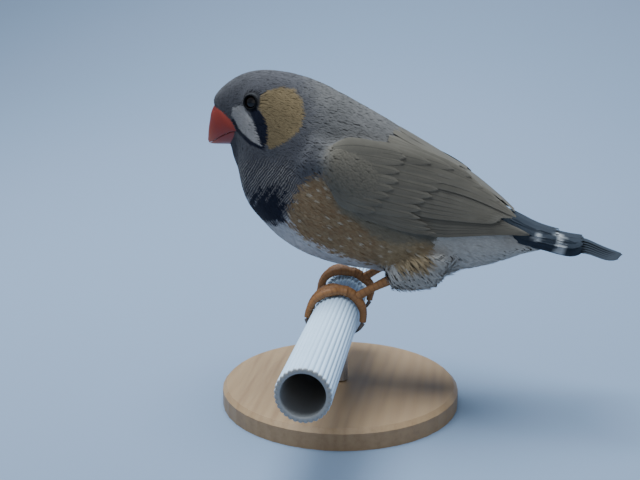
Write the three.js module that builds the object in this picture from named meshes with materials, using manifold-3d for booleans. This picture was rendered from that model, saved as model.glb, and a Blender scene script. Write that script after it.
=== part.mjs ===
// A male zebra finch as a still, life-size museum model. It grips a short length of ribbed
// plastic perch, which a small display stand carries. Millimetres, +Z up. The bird faces -Y,
// its left side is +X, and the perch runs along X. Heights of the bird and the perch are given
// from the perch's own axis, and one group lifts them onto the stand.

import * as THREE from 'three';
import { mergeVertices } from 'three/addons/utils/BufferGeometryUtils.js';
import Module from 'manifold-3d';

const wasm = await Module();
wasm.setup();

// Driving dimensions of the perch and the stand
const GAP = 0.3; // between pieces that meet
const PERCH_RADIUS = 5.5;
const PERCH_BORE_RADIUS = 4.3;
const PERCH_NEAR_END = 57.75; // on the bird's left
const PERCH_FAR_END = -27;
const PERCH_RIBS = 32;
const RIB_HEIGHT = 0.28;
const RIB_CORNERS = { rise: 0.14, top: 0.5, fall: 0.64 }; // shares of the pitch of the ribs
const BORE_SIDES = 28;
const BASE_RADIUS = 30;
const BASE_THICKNESS = 5;
const BASE_BEVEL = 1;
const BASE_SIDES = 44;
const ROD_RADIUS = 2;
const ROD_SHOWN = 12; // between the base and the saddle
const ROD_SIDES = 24;
const SADDLE_WALL = 1.3;
const SADDLE_HALF_LENGTH = 4.5;
const SADDLE_HALF_ANGLE = 52;
const SADDLE_SIDES = 9;
const PERCH_HEIGHT = BASE_THICKNESS + ROD_SHOWN + SADDLE_WALL + PERCH_RADIUS + 3 * GAP;

// Sections of the body from the bill to the vent. Each one is a plane through a point of the
// upper outline and a point of the lower one, both [y, z], with the half width there and the
// level of the widest place, from 0 at the bottom to 1 at the top. Low and high are the powers
// of the lower and upper half's outline, where 2 is an ellipse and less is more pointed.
const BODY_SECTIONS = [
  { at: 'inside the bill', top: [-29.8, 47.4], bottom: [-29.0, 45.8], half: 0.5, level: 0.5 },
  { at: 'bill root', top: [-31.2, 49.6], bottom: [-27.6, 42.4], half: 1.3, level: 0.5, low: 1.8 },
  { at: 'bill edge', top: [-31.6, 51.4], bottom: [-27.2, 40.9], half: 2.1, level: 0.52, low: 1.6 },
  { at: 'lores', top: [-30.0, 53.6], bottom: [-27.0, 39.0], half: 3.0, level: 0.56, low: 1.5, high: 2.3 },
  { at: 'forehead', top: [-26.8, 56.1], bottom: [-26.7, 36.6], half: 4.1, level: 0.6, low: 1.45, high: 2.4 },
  { at: 'eyes', top: [-23.2, 57.8], bottom: [-25.8, 34.2], half: 5.5, level: 0.6, low: 1.4, high: 2.5 },
  { at: 'crown', top: [-19.0, 58.5], bottom: [-25.1, 31.4], half: 7.2, level: 0.54, low: 1.8, high: 2.5 },
  { at: 'cheeks', top: [-14.4, 58.2], bottom: [-24.1, 28.0], half: 8.4, level: 0.48, high: 2.4 },
  { at: 'nape', top: [-8.2, 56.9], bottom: [-22.4, 24.6], half: 9.2, level: 0.5 },
  { at: 'collar', top: [-1.9, 54.2], bottom: [-19.6, 21.5], half: 10.2, level: 0.5 },
  { at: 'mantle', top: [4.2, 50.9], bottom: [-15.4, 17.5], half: 11.1, level: 0.5 },
  { at: 'back', top: [10.6, 47.4], bottom: [-10.0, 14.2], half: 11.7, level: 0.48 },
  { at: 'belly', top: [16.8, 43.5], bottom: [-3.0, 11.7], half: 11.9, level: 0.46 },
  { at: 'legs', top: [23.0, 38.6], bottom: [6.0, 10.3], half: 11.7, level: 0.44 },
  { at: 'rump', top: [28.6, 33.8], bottom: [16.0, 9.9], half: 10.7, level: 0.42 },
  { at: 'vent', top: [34.3, 29.8], bottom: [26.0, 10.6], half: 8.8, level: 0.42 },
  { at: 'tail root', top: [39.2, 25.4], bottom: [35.0, 12.4], half: 6.4, level: 0.42 },
  { at: 'undertail', top: [44.0, 20.2], bottom: [43.5, 15.0], half: 4.3, level: 0.45 },
  { at: 'undertail tip', top: [50.5, 17.6], bottom: [50.5, 16.7], half: 1.8, level: 0.5 },
];
const BODY_RINGS = 38;
const BODY_AROUND = 28;
const BODY_POWER = 2.15; // of every outline that names none of its own

// The thin cuts that part the head, the neck and the torso, as [y, z] at the back and front
const HEAD_CUT = [[-9.6, 57.4], [-26.2, 34.6]];
const NECK_CUT = [[-1.6, 54.0], [-24.6, 28.2]];

const EYE_RADIUS = 2.0;
const EYE_PLACE = [-20.8, 50.95]; // y and z of the eye's centre
const EYE_LOOK = [-0.3, 0.08]; // how far it looks forwards and up for 1 outwards
const EYE_SIDES = [14, 9];
const LID_TUBE = 0.3;
const LID_RING = 1.75;
const LID_SIDES = [6, 18];

// The bill, as sections from the head to its tip: a point of the ridge, one of the lower edge,
// the half width, and the share of the height that the lower half takes
const BILL_SECTIONS = [
  { ridge: [-26.4, 51.0], under: [-19.8, 43.2], half: 4.7, lower: 0.3 },
  { ridge: [-30.5, 50.6], under: [-22.6, 41.3], half: 4.8, lower: 0.3 },
  { ridge: [-31.9, 48.8], under: [-26.6, 40.9], half: 3.8, lower: 0.29 },
  { ridge: [-32.6, 46.0], under: [-29.0, 40.9], half: 2.7, lower: 0.26 },
  { ridge: [-33.0, 43.6], under: [-31.0, 40.9], half: 1.6, lower: 0.24 },
  { ridge: [-33.2, 41.5], under: [-32.6, 40.9], half: 0.5, lower: 0.2 },
];
const BILL_STEPS = 8;
const BILL_SIDES = 5;
// How the half width grows from the ridge or the keel to the mouth, and the wall's curve
const UPPER_BILL = { width: 0.62, height: 1.15, full: 1 };
const LOWER_BILL = { width: 0.5, height: 1.9, full: 0.9 };
const NOSTRIL = { radius: 0.45, place: [1.75, -31.6, 48.3] };

// The folded wing is drawn on a curved surface between its lower and its upper edge,
// from the wrist to the tip. Points are [x, y, z] on the left side.
const WING_LOWER = [
  [11.6, -3.6, 35.0], [13.0, 2.5, 27.6], [13.4, 10.5, 24.2], [12.2, 20.5, 20.9],
  [9.8, 30.5, 20.3], [7.2, 38.8, 20.4], [4.9, 45.0, 20.7],
];
const WING_UPPER = [
  [10.9, -3.4, 40.6], [10.7, 3.0, 42.6], [9.5, 11.0, 41.8], [7.0, 20.3, 39.3],
  [4.4, 30.0, 34.6], [3.9, 37.6, 28.7], [4.3, 45.0, 21.2],
];
const WING_BULGE = { wrist: 6, tip: 1.8 }; // times the shares below and above a place

// The wing's arm and hand, as a plate on its surface: shares along and up, and depths
const ARM = { along: [0, 0.5], up: [0.03, 0.97], wrist: 1.5, end: 0.7, inner: 1.0 };
const ARM_STEPS = 6;
const ARM_SIDES = 4;
const ARM_EDGE = { start: 0.45, slope: 4, flat: 0.8 }; // how its front and its sides are rounded

// A vane's section at shares of its length: its width and its thickness as shares of the full
const VANE_THICKNESS = 0.55;
const LONG_VANE = [[0, 0.6, 1], [0.5, 1, 1], [0.85, 0.85, 1], [1, 0.35, 0.8]];
const SHORT_VANE = [[0, 0.7, 1], [0.72, 1, 1], [1, 0.45, 0.8]];
const TAIL_VANE = [[0, 0.8, 1], [0.85, 1, 1], [1, 0.5, 0.8]];
const FEATHER_STRAY = 0.02; // how much the feathers of a row differ
const FEATHER_SEEDS = { left: 11, right: 23, tail: 37 };
const SMOOTHING = 0.05; // of the finished feathered solids

// Rows of the wing's feathers, from the innermost to the ones on top. A root and a tip are
// [along, up] on the wing's surface, for the row's first feather and its last. Each feather's
// lower edge stands out over its neighbour.
const WING_ROWS = [
  { at: 'primaries', count: 5, root: [[0.44, 0.07], [0.44, 0.36]], tip: [[0.99, 0.24], [0.83, 0.44]],
    arch: 0.035, rise: [0.1, 0.35], width: [2.8, 2.8], stations: LONG_VANE, tilt: 20 },
  { at: 'secondaries', count: 6, root: [[0.38, 0.34], [0.36, 0.72]], tip: [[0.8, 0.36], [0.885, 0.68]],
    arch: 0, rise: [0.3, 0.85], width: [2.8, 3.2], stations: LONG_VANE, tilt: 16 },
  { at: 'tertials', count: 3, root: [[0.34, 0.72], [0.3, 0.88]], tip: [[0.9, 0.8], [0.74, 0.9]],
    arch: 0, rise: [0.5, 1.1], width: [4.4, 4.6], stations: LONG_VANE, tilt: 12 },
  { at: 'primary coverts', count: 2, root: [[0.2, 0.06], [0.2, 0.2]], tip: [[0.52, 0.07], [0.49, 0.21]],
    arch: 0, rise: [0.7, 1.4], width: [2.4, 2.6], stations: SHORT_VANE, tilt: 16 },
  { at: 'greater coverts', count: 5, root: [[0.2, 0.25], [0.16, 0.88]], tip: [[0.47, 0.28], [0.43, 0.88]],
    arch: 0, rise: [0.9, 1.75], width: [4.2, 4], stations: SHORT_VANE, tilt: 15 },
  { at: 'median coverts', count: 5, root: [[0.06, 0.12], [0.04, 0.88]], tip: [[0.31, 0.12], [0.27, 0.88]],
    arch: 0, rise: [0.6, 1.9], width: [4.4, 4.2], stations: SHORT_VANE, tilt: 13 },
  { at: 'scapulars', count: 3, root: [[0.03, 0.88], [0.2, 0.9]], tip: [[0.3, 0.92], [0.55, 0.93]],
    arch: 0, rise: [0.6, 1.7], width: [4.4, 4], stations: SHORT_VANE, tilt: 6 },
];

// The tail, from above the undertail to its tip
const TAIL_SECTIONS = [
  { centre: [38.5, 23.6], half: 4.2, rise: 3.4 },
  { centre: [43.0, 20.9], half: 4.7, rise: 3.8 },
  { centre: [49.0, 19.1], half: 4.6, rise: 2.8 },
  { centre: [55.0, 17.5], half: 4.3, rise: 2.8 },
  { centre: [58.5, 17.4], half: 4.0, rise: 2.2 },
  { centre: [63.0, 16.1], half: 3.4, rise: 1.5 },
  { centre: [67.0, 15.4], half: 2.2, rise: 0.6 },
];
const TAIL_CORE = { reach: 0.5, scale: 0.86, steps: 5, sides: 12 };
const TAIL_REACH = { reach: 1, scale: 1.12, steps: 16, sides: 20 }; // what the wings keep clear of

// The tail's twelve long feathers in six pairs, the middle pair on top. Each next pair lies
// further out, a little lower and steeper, and ends a little shorter.
const TAIL_PAIRS = 6;
const TAIL_FEATHER = {
  from: 0.3, rootOut: 0.5, rootPitch: 0.32, tipOut: 0.7, pitch: 0.55, shorter: 0.012,
  width: 2.0, tilt: -6, steeper: -4, rootDepth: -0.6, topDepth: 0.3, drop: 0.5, lean: 0.12,
};

// Rows of the tail's coverts. A root and a tip are [along, round] on the tail's surface, where
// round is 0 on top and 1 straight below.
const TAIL_ROWS = [
  { at: 'long coverts', count: 3, root: [[0.16, 0.56], [0.16, 0.1]], tip: [[0.54, 0.58], [0.56, 0.1]],
    arch: 0, rise: [-0.5, 0.1], width: [4.4, 4.4], stations: SHORT_VANE, tilt: 10 },
  { at: 'short coverts', count: 2, root: [[0, 0.5], [0, 0.12]], tip: [[0.36, 0.48], [0.38, 0.1]],
    arch: 0, rise: [-0.3, 0.45], width: [5, 5], stations: SHORT_VANE, tilt: 10 },
];

// The legs. Angles round the perch are from straight up, forwards positive.
const FOOT_OUT = 9.2; // each foot's distance from the bird's middle
const FOOT = { angle: -24, radius: 7.1, back: 14, ahead: 10, radii: [1.15, 1.25, 1.1] };
const ANKLE = [12.6, 9.6]; // [y, z]
const TARSUS = { angle: -44, away: 0.25, bow: 0.15, radii: [1.1, 0.95, 1.15] };
const THIGH = [
  { out: 1, place: [13.0, 10.0], radius: 1.7 },
  { out: 1, place: [15.6, 11.4], radius: 3.3 },
  { out: 0.96, place: [20.0, 13.2], radius: 4.4 },
  { out: 0.86, place: [26.0, 16.0], radius: 2.4 },
];
const TOES = [
  { name: 'inner', spread: -2.6, start: -8, end: 82, root: 1.0, tip: 0.72 },
  { name: 'middle', spread: 0.0, start: -6, end: 98, root: 1.08, tip: 0.74 },
  { name: 'outer', spread: 2.7, start: -8, end: 84, root: 0.98, tip: 0.7 },
  { name: 'hind', spread: 0.2, start: -46, end: -98, root: 1.1, tip: 0.8 },
];
const TOE_POINTS = 6;
const TOE_SPREAD = { root: 0.35, tip: 1.3 };
const TOE_ARCH = { left: 0.12, right: 0.65 }; // the right foot's toes are less pressed down
const TOE_ARCH_REACH = 0.8; // of the toe's length
const CLAW = { points: 4, start: 3.2, turn: 26, tip: 0.3, radii: [0.55, 0.42, 0.2] };

const degrees = THREE.MathUtils.degToRad;
const SIDES = [['left', 1], ['right', -1]];

function colour(hex, roughness, metalness = 0) {
  return new THREE.MeshStandardMaterial({ color: hex, roughness, metalness });
}

const MATERIALS = {
  headGrey: colour(0x6f7075, 0.85),
  bodyGrey: colour(0x77726c, 0.85),
  wingBrown: colour(0x6d675c, 0.85),
  tailBlack: colour(0x1b1b1e, 0.8),
  billRed: colour(0xb8402e, 0.45),
  eyeBlack: colour(0x120c0a, 0.15),
  legOrange: colour(0xc8743a, 0.6),
  claw: colour(0x5a4a3c, 0.5),
  plastic: colour(0xdfe6ea, 0.5),
  wood: colour(0xb99468, 0.6),
  steel: colour(0xb9bcc0, 0.35, 1),
};

// A closed geometry from points and triangles, turned so that its faces point out
function closedGeometry(points, faces) {
  let volume = 0;
  for (const [a, b, c] of faces) {
    volume += points[a].dot(new THREE.Vector3().crossVectors(points[b], points[c]));
  }
  const outward = volume > 0 ? faces : faces.map(([a, b, c]) => [a, c, b]);
  const geometry = new THREE.BufferGeometry().setFromPoints(points);
  geometry.setIndex(outward.flat());
  return geometry;
}

// A closed form through rings of equally many points, with its two ends capped
function loft(rings) {
  const around = rings[0].length;
  const points = rings.flat();
  const faces = [];
  for (let i = 0; i + 1 < rings.length; i++) {
    for (let j = 0; j < around; j++) {
      const here = i * around + j;
      const next = i * around + ((j + 1) % around);
      faces.push([here, next, next + around], [here, next + around, here + around]);
    }
  }
  for (const [ring, side] of [[0, 1], [rings.length - 1, -1]]) {
    const middle = new THREE.Vector3();
    rings[ring].forEach((point) => middle.addScaledVector(point, 1 / around));
    points.push(middle);
    for (let j = 0; j < around; j++) {
      const here = ring * around + j;
      const next = ring * around + ((j + 1) % around);
      faces.push(side > 0 ? [points.length - 1, next, here] : [points.length - 1, here, next]);
    }
  }
  return closedGeometry(points, faces);
}

// The geometry with its position alone and its shared points merged
function merged(geometry) {
  const bare = geometry.clone();
  bare.deleteAttribute('normal');
  bare.deleteAttribute('uv');
  return mergeVertices(bare);
}

// A geometry made larger by the same distance all over
function grown(geometry, distance) {
  const larger = merged(geometry);
  larger.computeVertexNormals();
  const place = larger.getAttribute('position');
  const normal = larger.getAttribute('normal');
  for (let i = 0; i < place.count; i++) {
    place.setXYZ(
      i,
      place.getX(i) + normal.getX(i) * distance,
      place.getY(i) + normal.getY(i) * distance,
      place.getZ(i) + normal.getZ(i) * distance,
    );
  }
  return larger;
}

// A solid that can be joined and cut
function solid(geometry) {
  const bare = merged(geometry);
  return new wasm.Manifold(new wasm.Mesh({
    numProp: 3,
    vertProperties: Float32Array.from(bare.getAttribute('position').array),
    triVerts: Uint32Array.from(bare.index.array),
  }));
}

// The solid that a piece's neighbours are cut by
function clearanceOf(geometry, extra = 0) {
  return solid(grown(geometry, GAP + extra));
}

// The largest closed surface of a solid, as a geometry
function geometryOf(body) {
  const largest = body.decompose().sort((a, b) => b.volume() - a.volume())[0];
  const mesh = largest.getMesh();
  const geometry = new THREE.BufferGeometry();
  geometry.setAttribute('position', new THREE.BufferAttribute(mesh.vertProperties, 3));
  geometry.setIndex(new THREE.BufferAttribute(mesh.triVerts, 1));
  return geometry;
}

function lerp(from, to, share) {
  return from + (to - from) * share;
}

// Fixed pseudo-random numbers from 0 to 1
function seededDraw(seed) {
  const modulus = 2147483647;
  const factor = 16807;
  let state = seed;
  return () => {
    state = (state * factor) % modulus;
    return state / modulus;
  };
}

function curveThrough(points) {
  return new THREE.CatmullRomCurve3(points.map((point) => new THREE.Vector3(...point)));
}

// A curve through one point in the middle plane for each section
function profileCurve(sections, name) {
  return curveThrough(sections.map((section) => [0, ...section[name]]));
}

// A round form along a curve, with a radius for each share of the way
function limb(points, radii, { steps, sides }) {
  const path = curveThrough(points);
  const radiusCurve = curveThrough(radii.map((radius) => [radius, 0, 0]));
  const rings = [];
  for (let i = 0; i <= steps; i++) {
    const centre = path.getPoint(i / steps);
    const ahead = path.getTangent(i / steps);
    const radius = radiusCurve.getPoint(i / steps).x;
    const across = new THREE.Vector3(1, 0, 0).projectOnPlane(ahead).normalize();
    const up = new THREE.Vector3().crossVectors(ahead, across).normalize();
    const ring = [];
    for (let j = 0; j < sides; j++) {
      const angle = (2 * Math.PI * (j + 0.5)) / sides;
      const point = centre.clone();
      point.addScaledVector(across, Math.cos(angle) * radius);
      point.addScaledVector(up, Math.sin(angle) * radius);
      ring.push(point);
    }
    rings.push(ring);
  }
  return loft(rings);
}

const bodyTop = profileCurve(BODY_SECTIONS, 'top');
const bodyBottom = profileCurve(BODY_SECTIONS, 'bottom');
const bodySize = curveThrough(BODY_SECTIONS.map(({ half, level }) => [half, level, 0]));
const bodyPower = curveThrough(
  BODY_SECTIONS.map(({ low = BODY_POWER, high = BODY_POWER }) => [low, high, 0]),
);

function bodySection(share) {
  const size = bodySize.getPoint(share);
  const power = bodyPower.getPoint(share);
  return {
    top: bodyTop.getPoint(share),
    bottom: bodyBottom.getPoint(share),
    half: size.x,
    level: size.y,
    low: power.x,
    high: power.y,
  };
}

// A signed power, which squares or sharpens an outline
function shaped(value, power) {
  return Math.sign(value) * Math.abs(value) ** (2 / power);
}

// The whole body from the bill's root to the undertail, before it is parted
function bodyGeometry() {
  const rings = [];
  for (let i = 0; i <= BODY_RINGS; i++) {
    const { top, bottom, half, level, low, high } = bodySection(i / BODY_RINGS);
    const ring = [];
    for (let j = 0; j < BODY_AROUND; j++) {
      const angle = (2 * Math.PI * j) / BODY_AROUND;
      const power = Math.cos(angle) < 0 ? low : high;
      const up = shaped(Math.cos(angle), power);
      const height = level + up * (up > 0 ? 1 - level : level);
      const point = bottom.clone().lerp(top, height);
      point.x = shaped(Math.sin(angle), power) * half;
      ring.push(point);
    }
    rings.push(ring);
  }
  return loft(rings);
}

// The share of the body's length whose section holds a place [y, z]
function bodyShare(y, z) {
  const closeEnough = 1e-6;
  let front = 0;
  let back = 1;
  while (back - front > closeEnough) {
    const middle = (front + back) / 2;
    const { top, bottom } = bodySection(middle);
    const side = (top.y - bottom.y) * (z - bottom.z) - (top.z - bottom.z) * (y - bottom.y);
    if (side < 0) front = middle;
    else back = middle;
  }
  return front;
}

// The body's half width at a place [y, z] seen from the side
function bodySide(y, z) {
  const { top, bottom, half, level, low, high } = bodySection(bodyShare(y, z));
  const line = top.clone().sub(bottom);
  const height = new THREE.Vector3(0, y, z).sub(bottom).dot(line) / line.lengthSq();
  const away = height > level ? (height - level) / (1 - level) : (level - height) / level;
  const power = height > level ? high : low;
  return half * Math.max(0, 1 - Math.min(1, away) ** power) ** (1 / power);
}

// A thin plate across the whole body, through two points of its middle plane
function cutPlate([back, front]) {
  const wide = 80;
  const long = 120;
  const plate = new THREE.BoxGeometry(wide, long, GAP);
  plate.rotateX(Math.atan2(back[1] - front[1], back[0] - front[0]));
  plate.translate(0, (back[0] + front[0]) / 2, (back[1] + front[1]) / 2);
  return solid(plate);
}

// The eye's centre, and the direction and the depth of the plane of its lids
function eyeSeat(side) {
  const look = new THREE.Vector3(side, ...EYE_LOOK).normalize();
  const depth = Math.sqrt((EYE_RADIUS + GAP + LID_TUBE) ** 2 - LID_RING ** 2);
  const surface = new THREE.Vector3(side * bodySide(...EYE_PLACE), ...EYE_PLACE);
  return { look, depth, centre: surface.addScaledVector(look, LID_TUBE / 3 - depth) };
}

function eyeGeometry(side, extra = 0) {
  const ball = new THREE.SphereGeometry(EYE_RADIUS + extra, ...EYE_SIDES);
  ball.translate(...eyeSeat(side).centre);
  return ball;
}

// The raised rim of the lids round one eye
function lidRing(side) {
  const { centre, look, depth } = eyeSeat(side);
  const ring = new THREE.TorusGeometry(LID_RING, LID_TUBE, ...LID_SIDES);
  ring.applyQuaternion(new THREE.Quaternion().setFromUnitVectors(new THREE.Vector3(0, 0, 1), look));
  ring.translate(...centre.clone().addScaledVector(look, depth));
  return solid(ring);
}

// One half of the bill. The upper one has a ridge, and the lower one is a rounded trough.
function billHalf(isUpper) {
  const ridge = profileCurve(BILL_SECTIONS, 'ridge');
  const under = profileCurve(BILL_SECTIONS, 'under');
  const size = curveThrough(BILL_SECTIONS.map(({ half, lower }) => [half, lower, 0]));
  const form = isUpper ? UPPER_BILL : LOWER_BILL;
  const rings = [];
  for (let i = 0; i <= BILL_STEPS; i++) {
    const top = ridge.getPoint(i / BILL_STEPS);
    const bottom = under.getPoint(i / BILL_STEPS);
    const { x: half, y: lower } = size.getPoint(i / BILL_STEPS);
    const slot = GAP / 2 / top.distanceTo(bottom);
    const mouth = isUpper ? lower + slot : lower - slot;
    const ring = [];
    for (let j = -BILL_SIDES; j <= BILL_SIDES; j++) {
      const around = Math.abs(j) / BILL_SIDES;
      const height = 1 - around ** form.height;
      const point = bottom.clone().lerp(top, lerp(mouth, isUpper ? 1 : 0, height));
      point.x = Math.sign(j) * around ** form.width * form.full * half;
      ring.push(point);
    }
    rings.push(ring);
  }
  return loft(rings);
}

function nostril(side) {
  const sides = [8, 6];
  const [x, y, z] = NOSTRIL.place;
  const hole = new THREE.SphereGeometry(NOSTRIL.radius, ...sides);
  hole.translate(side * x, y, z);
  return solid(hole);
}

const wingLower = curveThrough(WING_LOWER);
const wingUpper = curveThrough(WING_UPPER);

// The folded wing's surface: a place from the wrist to the tip and from the lower to the upper
// edge, and the direction there that points out of the bird
const wingSurface = {
  place(along, up) {
    const share = THREE.MathUtils.clamp(along, 0, 1);
    const place = wingLower.getPoint(share).lerp(wingUpper.getPoint(share), up);
    place.x += lerp(WING_BULGE.wrist, WING_BULGE.tip, share) * up * (1 - up);
    return place;
  },
  outward(along, up) {
    const step = 0.01;
    const share = THREE.MathUtils.clamp(along, step, 1 - step);
    const ahead = this.place(share + step, up).sub(this.place(share - step, up));
    const across = this.place(share, up + step).sub(this.place(share, up - step));
    const normal = across.cross(ahead).normalize();
    return normal.x < 0 ? normal.negate() : normal;
  },
};

// The four points of a vane's section. Across points to the side that tucks in under its
// neighbour, which is the higher one, or on top of the tail the inner one.
function vaneSection({ place, normal, ahead }, wide, thick, tilt) {
  const across = ahead.clone().cross(normal).normalize();
  const nearlyLevel = 0.01;
  if (across.z < across.x * nearlyLevel) across.negate();
  const side = across.clone().multiplyScalar(Math.cos(tilt)).addScaledVector(normal, -Math.sin(tilt));
  const face = normal.clone().multiplyScalar(Math.cos(tilt)).addScaledVector(across, Math.sin(tilt));
  return [[1, 1], [-1, 1], [-1, -1], [1, -1]].map(([aside, out]) => {
    const point = place.clone().addScaledVector(side, (aside * wide) / 2);
    return point.addScaledVector(face, (out * thick) / 2);
  });
}

// A feather's vane of four-sided section, from its root to its tip on a surface
function vane(surface, { root, tip, rise, width, tilt, stations }) {
  const centre = (share) => {
    const along = lerp(root[0], tip[0], share);
    const up = lerp(root[1], tip[1], share);
    const normal = surface.outward(along, up);
    const place = surface.place(along, up).addScaledVector(normal, lerp(rise[0], rise[1], share));
    return { place, normal };
  };
  const step = 0.02;
  const points = [];
  for (const [share, wide, thick] of stations) {
    const { place, normal } = centre(share);
    const ahead = centre(Math.min(1, share + step)).place.sub(centre(Math.max(0, share - step)).place);
    points.push(...vaneSection({ place, normal, ahead }, wide * width, thick * VANE_THICKNESS, tilt));
  }
  return { points, faces: vaneFaces(stations.length) };
}

// A vane's triangles. Both broad faces are split alike, so they never cross where it curves.
function vaneFaces(stations) {
  const sides = 4;
  const underside = 2;
  const faces = [[0, 2, 1], [0, 3, 2]];
  for (let i = 0; i + 1 < stations; i++) {
    for (let j = 0; j < sides; j++) {
      const here = i * sides + j;
      const next = i * sides + ((j + 1) % sides);
      if (j === underside) faces.push([here, next, here + sides], [next, next + sides, here + sides]);
      else faces.push([here, next, next + sides], [here, next + sides, here + sides]);
    }
  }
  const last = (stations - 1) * sides;
  faces.push([last, last + 1, last + 2], [last, last + 2, last + 3]);
  return faces;
}

// A vane as a solid, on the bird's left or right side
function featherSolid({ points, faces }, side) {
  const placed = points.map((point) => new THREE.Vector3(point.x * side, point.y, point.z));
  return solid(closedGeometry(placed, faces));
}

// A row of feathers between its first and its last one, each a little different
function featherRow(surface, row, draw, side) {
  const feathers = [];
  for (let i = 0; i < row.count; i++) {
    const share = i / (row.count - 1);
    const between = ([first, last]) => first.map((value, axis) => lerp(value, last[axis], share));
    const stray = () => (draw() - 0.5) * FEATHER_STRAY;
    const [tipAlong, tipUp] = between(row.tip);
    const arch = row.arch * 4 * share * (1 - share);
    const feather = vane(surface, {
      root: between(row.root),
      tip: [tipAlong + arch + stray(), tipUp + stray()],
      rise: row.rise,
      width: lerp(row.width[0], row.width[1], share) * (1 + stray()),
      tilt: degrees(row.tilt),
      stations: row.stations,
    });
    feathers.push(featherSolid(feather, side));
  }
  return feathers;
}

// The wing's arm and hand, which its feathers grow from, as a closed plate on its surface
function wingArm(side) {
  const rings = [];
  for (let i = 0; i <= ARM_STEPS; i++) {
    const share = i / ARM_STEPS;
    const along = lerp(ARM.along[0], ARM.along[1], share);
    const thick = lerp(ARM.wrist, ARM.end, share) * Math.min(1, ARM_EDGE.start + share * ARM_EDGE.slope);
    const ring = [];
    const add = (j, depth) => {
      const up = lerp(ARM.up[0], ARM.up[1], j / ARM_SIDES);
      const place = wingSurface.place(along, up).addScaledVector(wingSurface.outward(along, up), depth);
      ring.push(new THREE.Vector3(place.x * side, place.y, place.z));
    };
    for (let j = 0; j <= ARM_SIDES; j++) {
      add(j, thick * Math.sqrt(1 - ((2 * j) / ARM_SIDES - 1) ** 2 * ARM_EDGE.flat));
    }
    for (let j = ARM_SIDES; j >= 0; j--) add(j, -ARM.inner);
    rings.push(ring);
  }
  return solid(loft(rings));
}

// A whole wing, which stays on its own side of the bird's middle
function wingSolid(sideName, side) {
  const draw = seededDraw(FEATHER_SEEDS[sideName]);
  let wing = wingArm(side);
  for (const row of WING_ROWS) {
    for (const feather of featherRow(wingSurface, row, draw, side)) wing = wing.add(feather);
  }
  return wing.trimByPlane([side, 0, 0], GAP / 2);
}

const tailCentre = profileCurve(TAIL_SECTIONS, 'centre');
const tailSize = curveThrough(TAIL_SECTIONS.map(({ half, rise }) => [half, rise, 0]));

// The tail's section at a share of its length
function tailSection(along) {
  const share = THREE.MathUtils.clamp(along, 0, 1);
  const { x: half, y: rise } = tailSize.getPoint(share);
  return { centre: tailCentre.getPoint(share), half, rise };
}

// The tail's surface: a place from the root to the tip and round its arched section
const tailSurface = {
  place(along, round) {
    const { centre, half, rise } = tailSection(along);
    centre.x += Math.sin(round * Math.PI) * half;
    centre.z += Math.cos(round * Math.PI) * rise;
    return centre;
  },
  outward(along, round) {
    const { half, rise } = tailSection(along);
    const angle = round * Math.PI;
    return new THREE.Vector3(Math.sin(angle) / half, 0, Math.cos(angle) / rise).normalize();
  },
};

// A closed form under the tail's surface, as far along as the reach
function tailForm({ reach, scale, steps, sides }) {
  const rings = [];
  for (let i = 0; i <= steps; i++) {
    const share = (i / steps) * reach;
    const ring = [];
    for (let j = 0; j < sides; j++) {
      const place = tailSurface.place(share, (2 * j) / sides);
      ring.push(tailSection(share).centre.lerp(place, scale));
    }
    rings.push(ring);
  }
  return loft(rings);
}

// One of the tail's long feathers, counted outwards from the middle pair
function tailFeather(order, side, draw) {
  const form = TAIL_FEATHER;
  const surface = {
    place(along, across) {
      const { centre, rise } = tailSection(along);
      const drop = (order / (TAIL_PAIRS - 1)) * (2 * rise - form.drop);
      return new THREE.Vector3(across, centre.y, centre.z + rise - form.topDepth - drop);
    },
    outward: () => new THREE.Vector3(0, form.lean, 1).normalize(),
  };
  const stray = (draw() - 0.5) * FEATHER_STRAY;
  const feather = vane(surface, {
    root: [form.from, form.rootOut + form.rootPitch * order],
    tip: [1 - form.shorter * order + stray / 2, form.tipOut + form.pitch * order],
    rise: [form.rootDepth, 0],
    width: form.width,
    tilt: degrees(form.tilt + form.steeper * order),
    stations: TAIL_VANE,
  });
  return featherSolid(feather, side);
}

function tailSolid() {
  const draw = seededDraw(FEATHER_SEEDS.tail);
  let tail = solid(tailForm(TAIL_CORE));
  for (const [, side] of SIDES) {
    for (let order = 0; order < TAIL_PAIRS; order++) tail = tail.add(tailFeather(order, side, draw));
    for (const row of TAIL_ROWS) {
      for (const feather of featherRow(tailSurface, row, draw, side)) tail = tail.add(feather);
    }
  }
  return tail;
}

// A place round the perch
function roundPerch(angle, radius, x) {
  return [x, -Math.sin(degrees(angle)) * radius, Math.cos(degrees(angle)) * radius];
}

function toeGeometry(toe, sideName, side) {
  const points = [];
  for (let i = 0; i <= TOE_POINTS; i++) {
    const share = i / TOE_POINTS;
    const arch = TOE_ARCH[sideName] * Math.sin(Math.PI * Math.min(1, share / TOE_ARCH_REACH));
    const away = PERCH_RADIUS + GAP + lerp(toe.root, toe.tip, share) + arch;
    const spread = toe.spread * lerp(TOE_SPREAD.root, TOE_SPREAD.tip, Math.sqrt(share));
    points.push(roundPerch(lerp(toe.start, toe.end, share), away, side * (FOOT_OUT + spread)));
  }
  const knuckle = toe.tip * 1.12;
  return limb(points, [toe.root, knuckle, toe.tip], { steps: 7, sides: 8 });
}

function clawGeometry(toe, side) {
  const x = side * (FOOT_OUT + toe.spread * TOE_SPREAD.tip);
  const turn = Math.sign(toe.end - toe.start);
  const root = toe.tip * 1.15;
  const hook = 0.8;
  const points = [];
  for (let i = 0; i <= CLAW.points; i++) {
    const share = i / CLAW.points;
    const away = PERCH_RADIUS + GAP + lerp(root, CLAW.tip, share ** hook);
    points.push(roundPerch(toe.end + turn * (CLAW.start + CLAW.turn * share), away, x));
  }
  return limb(points, CLAW.radii, { steps: 4, sides: 6 });
}

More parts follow.
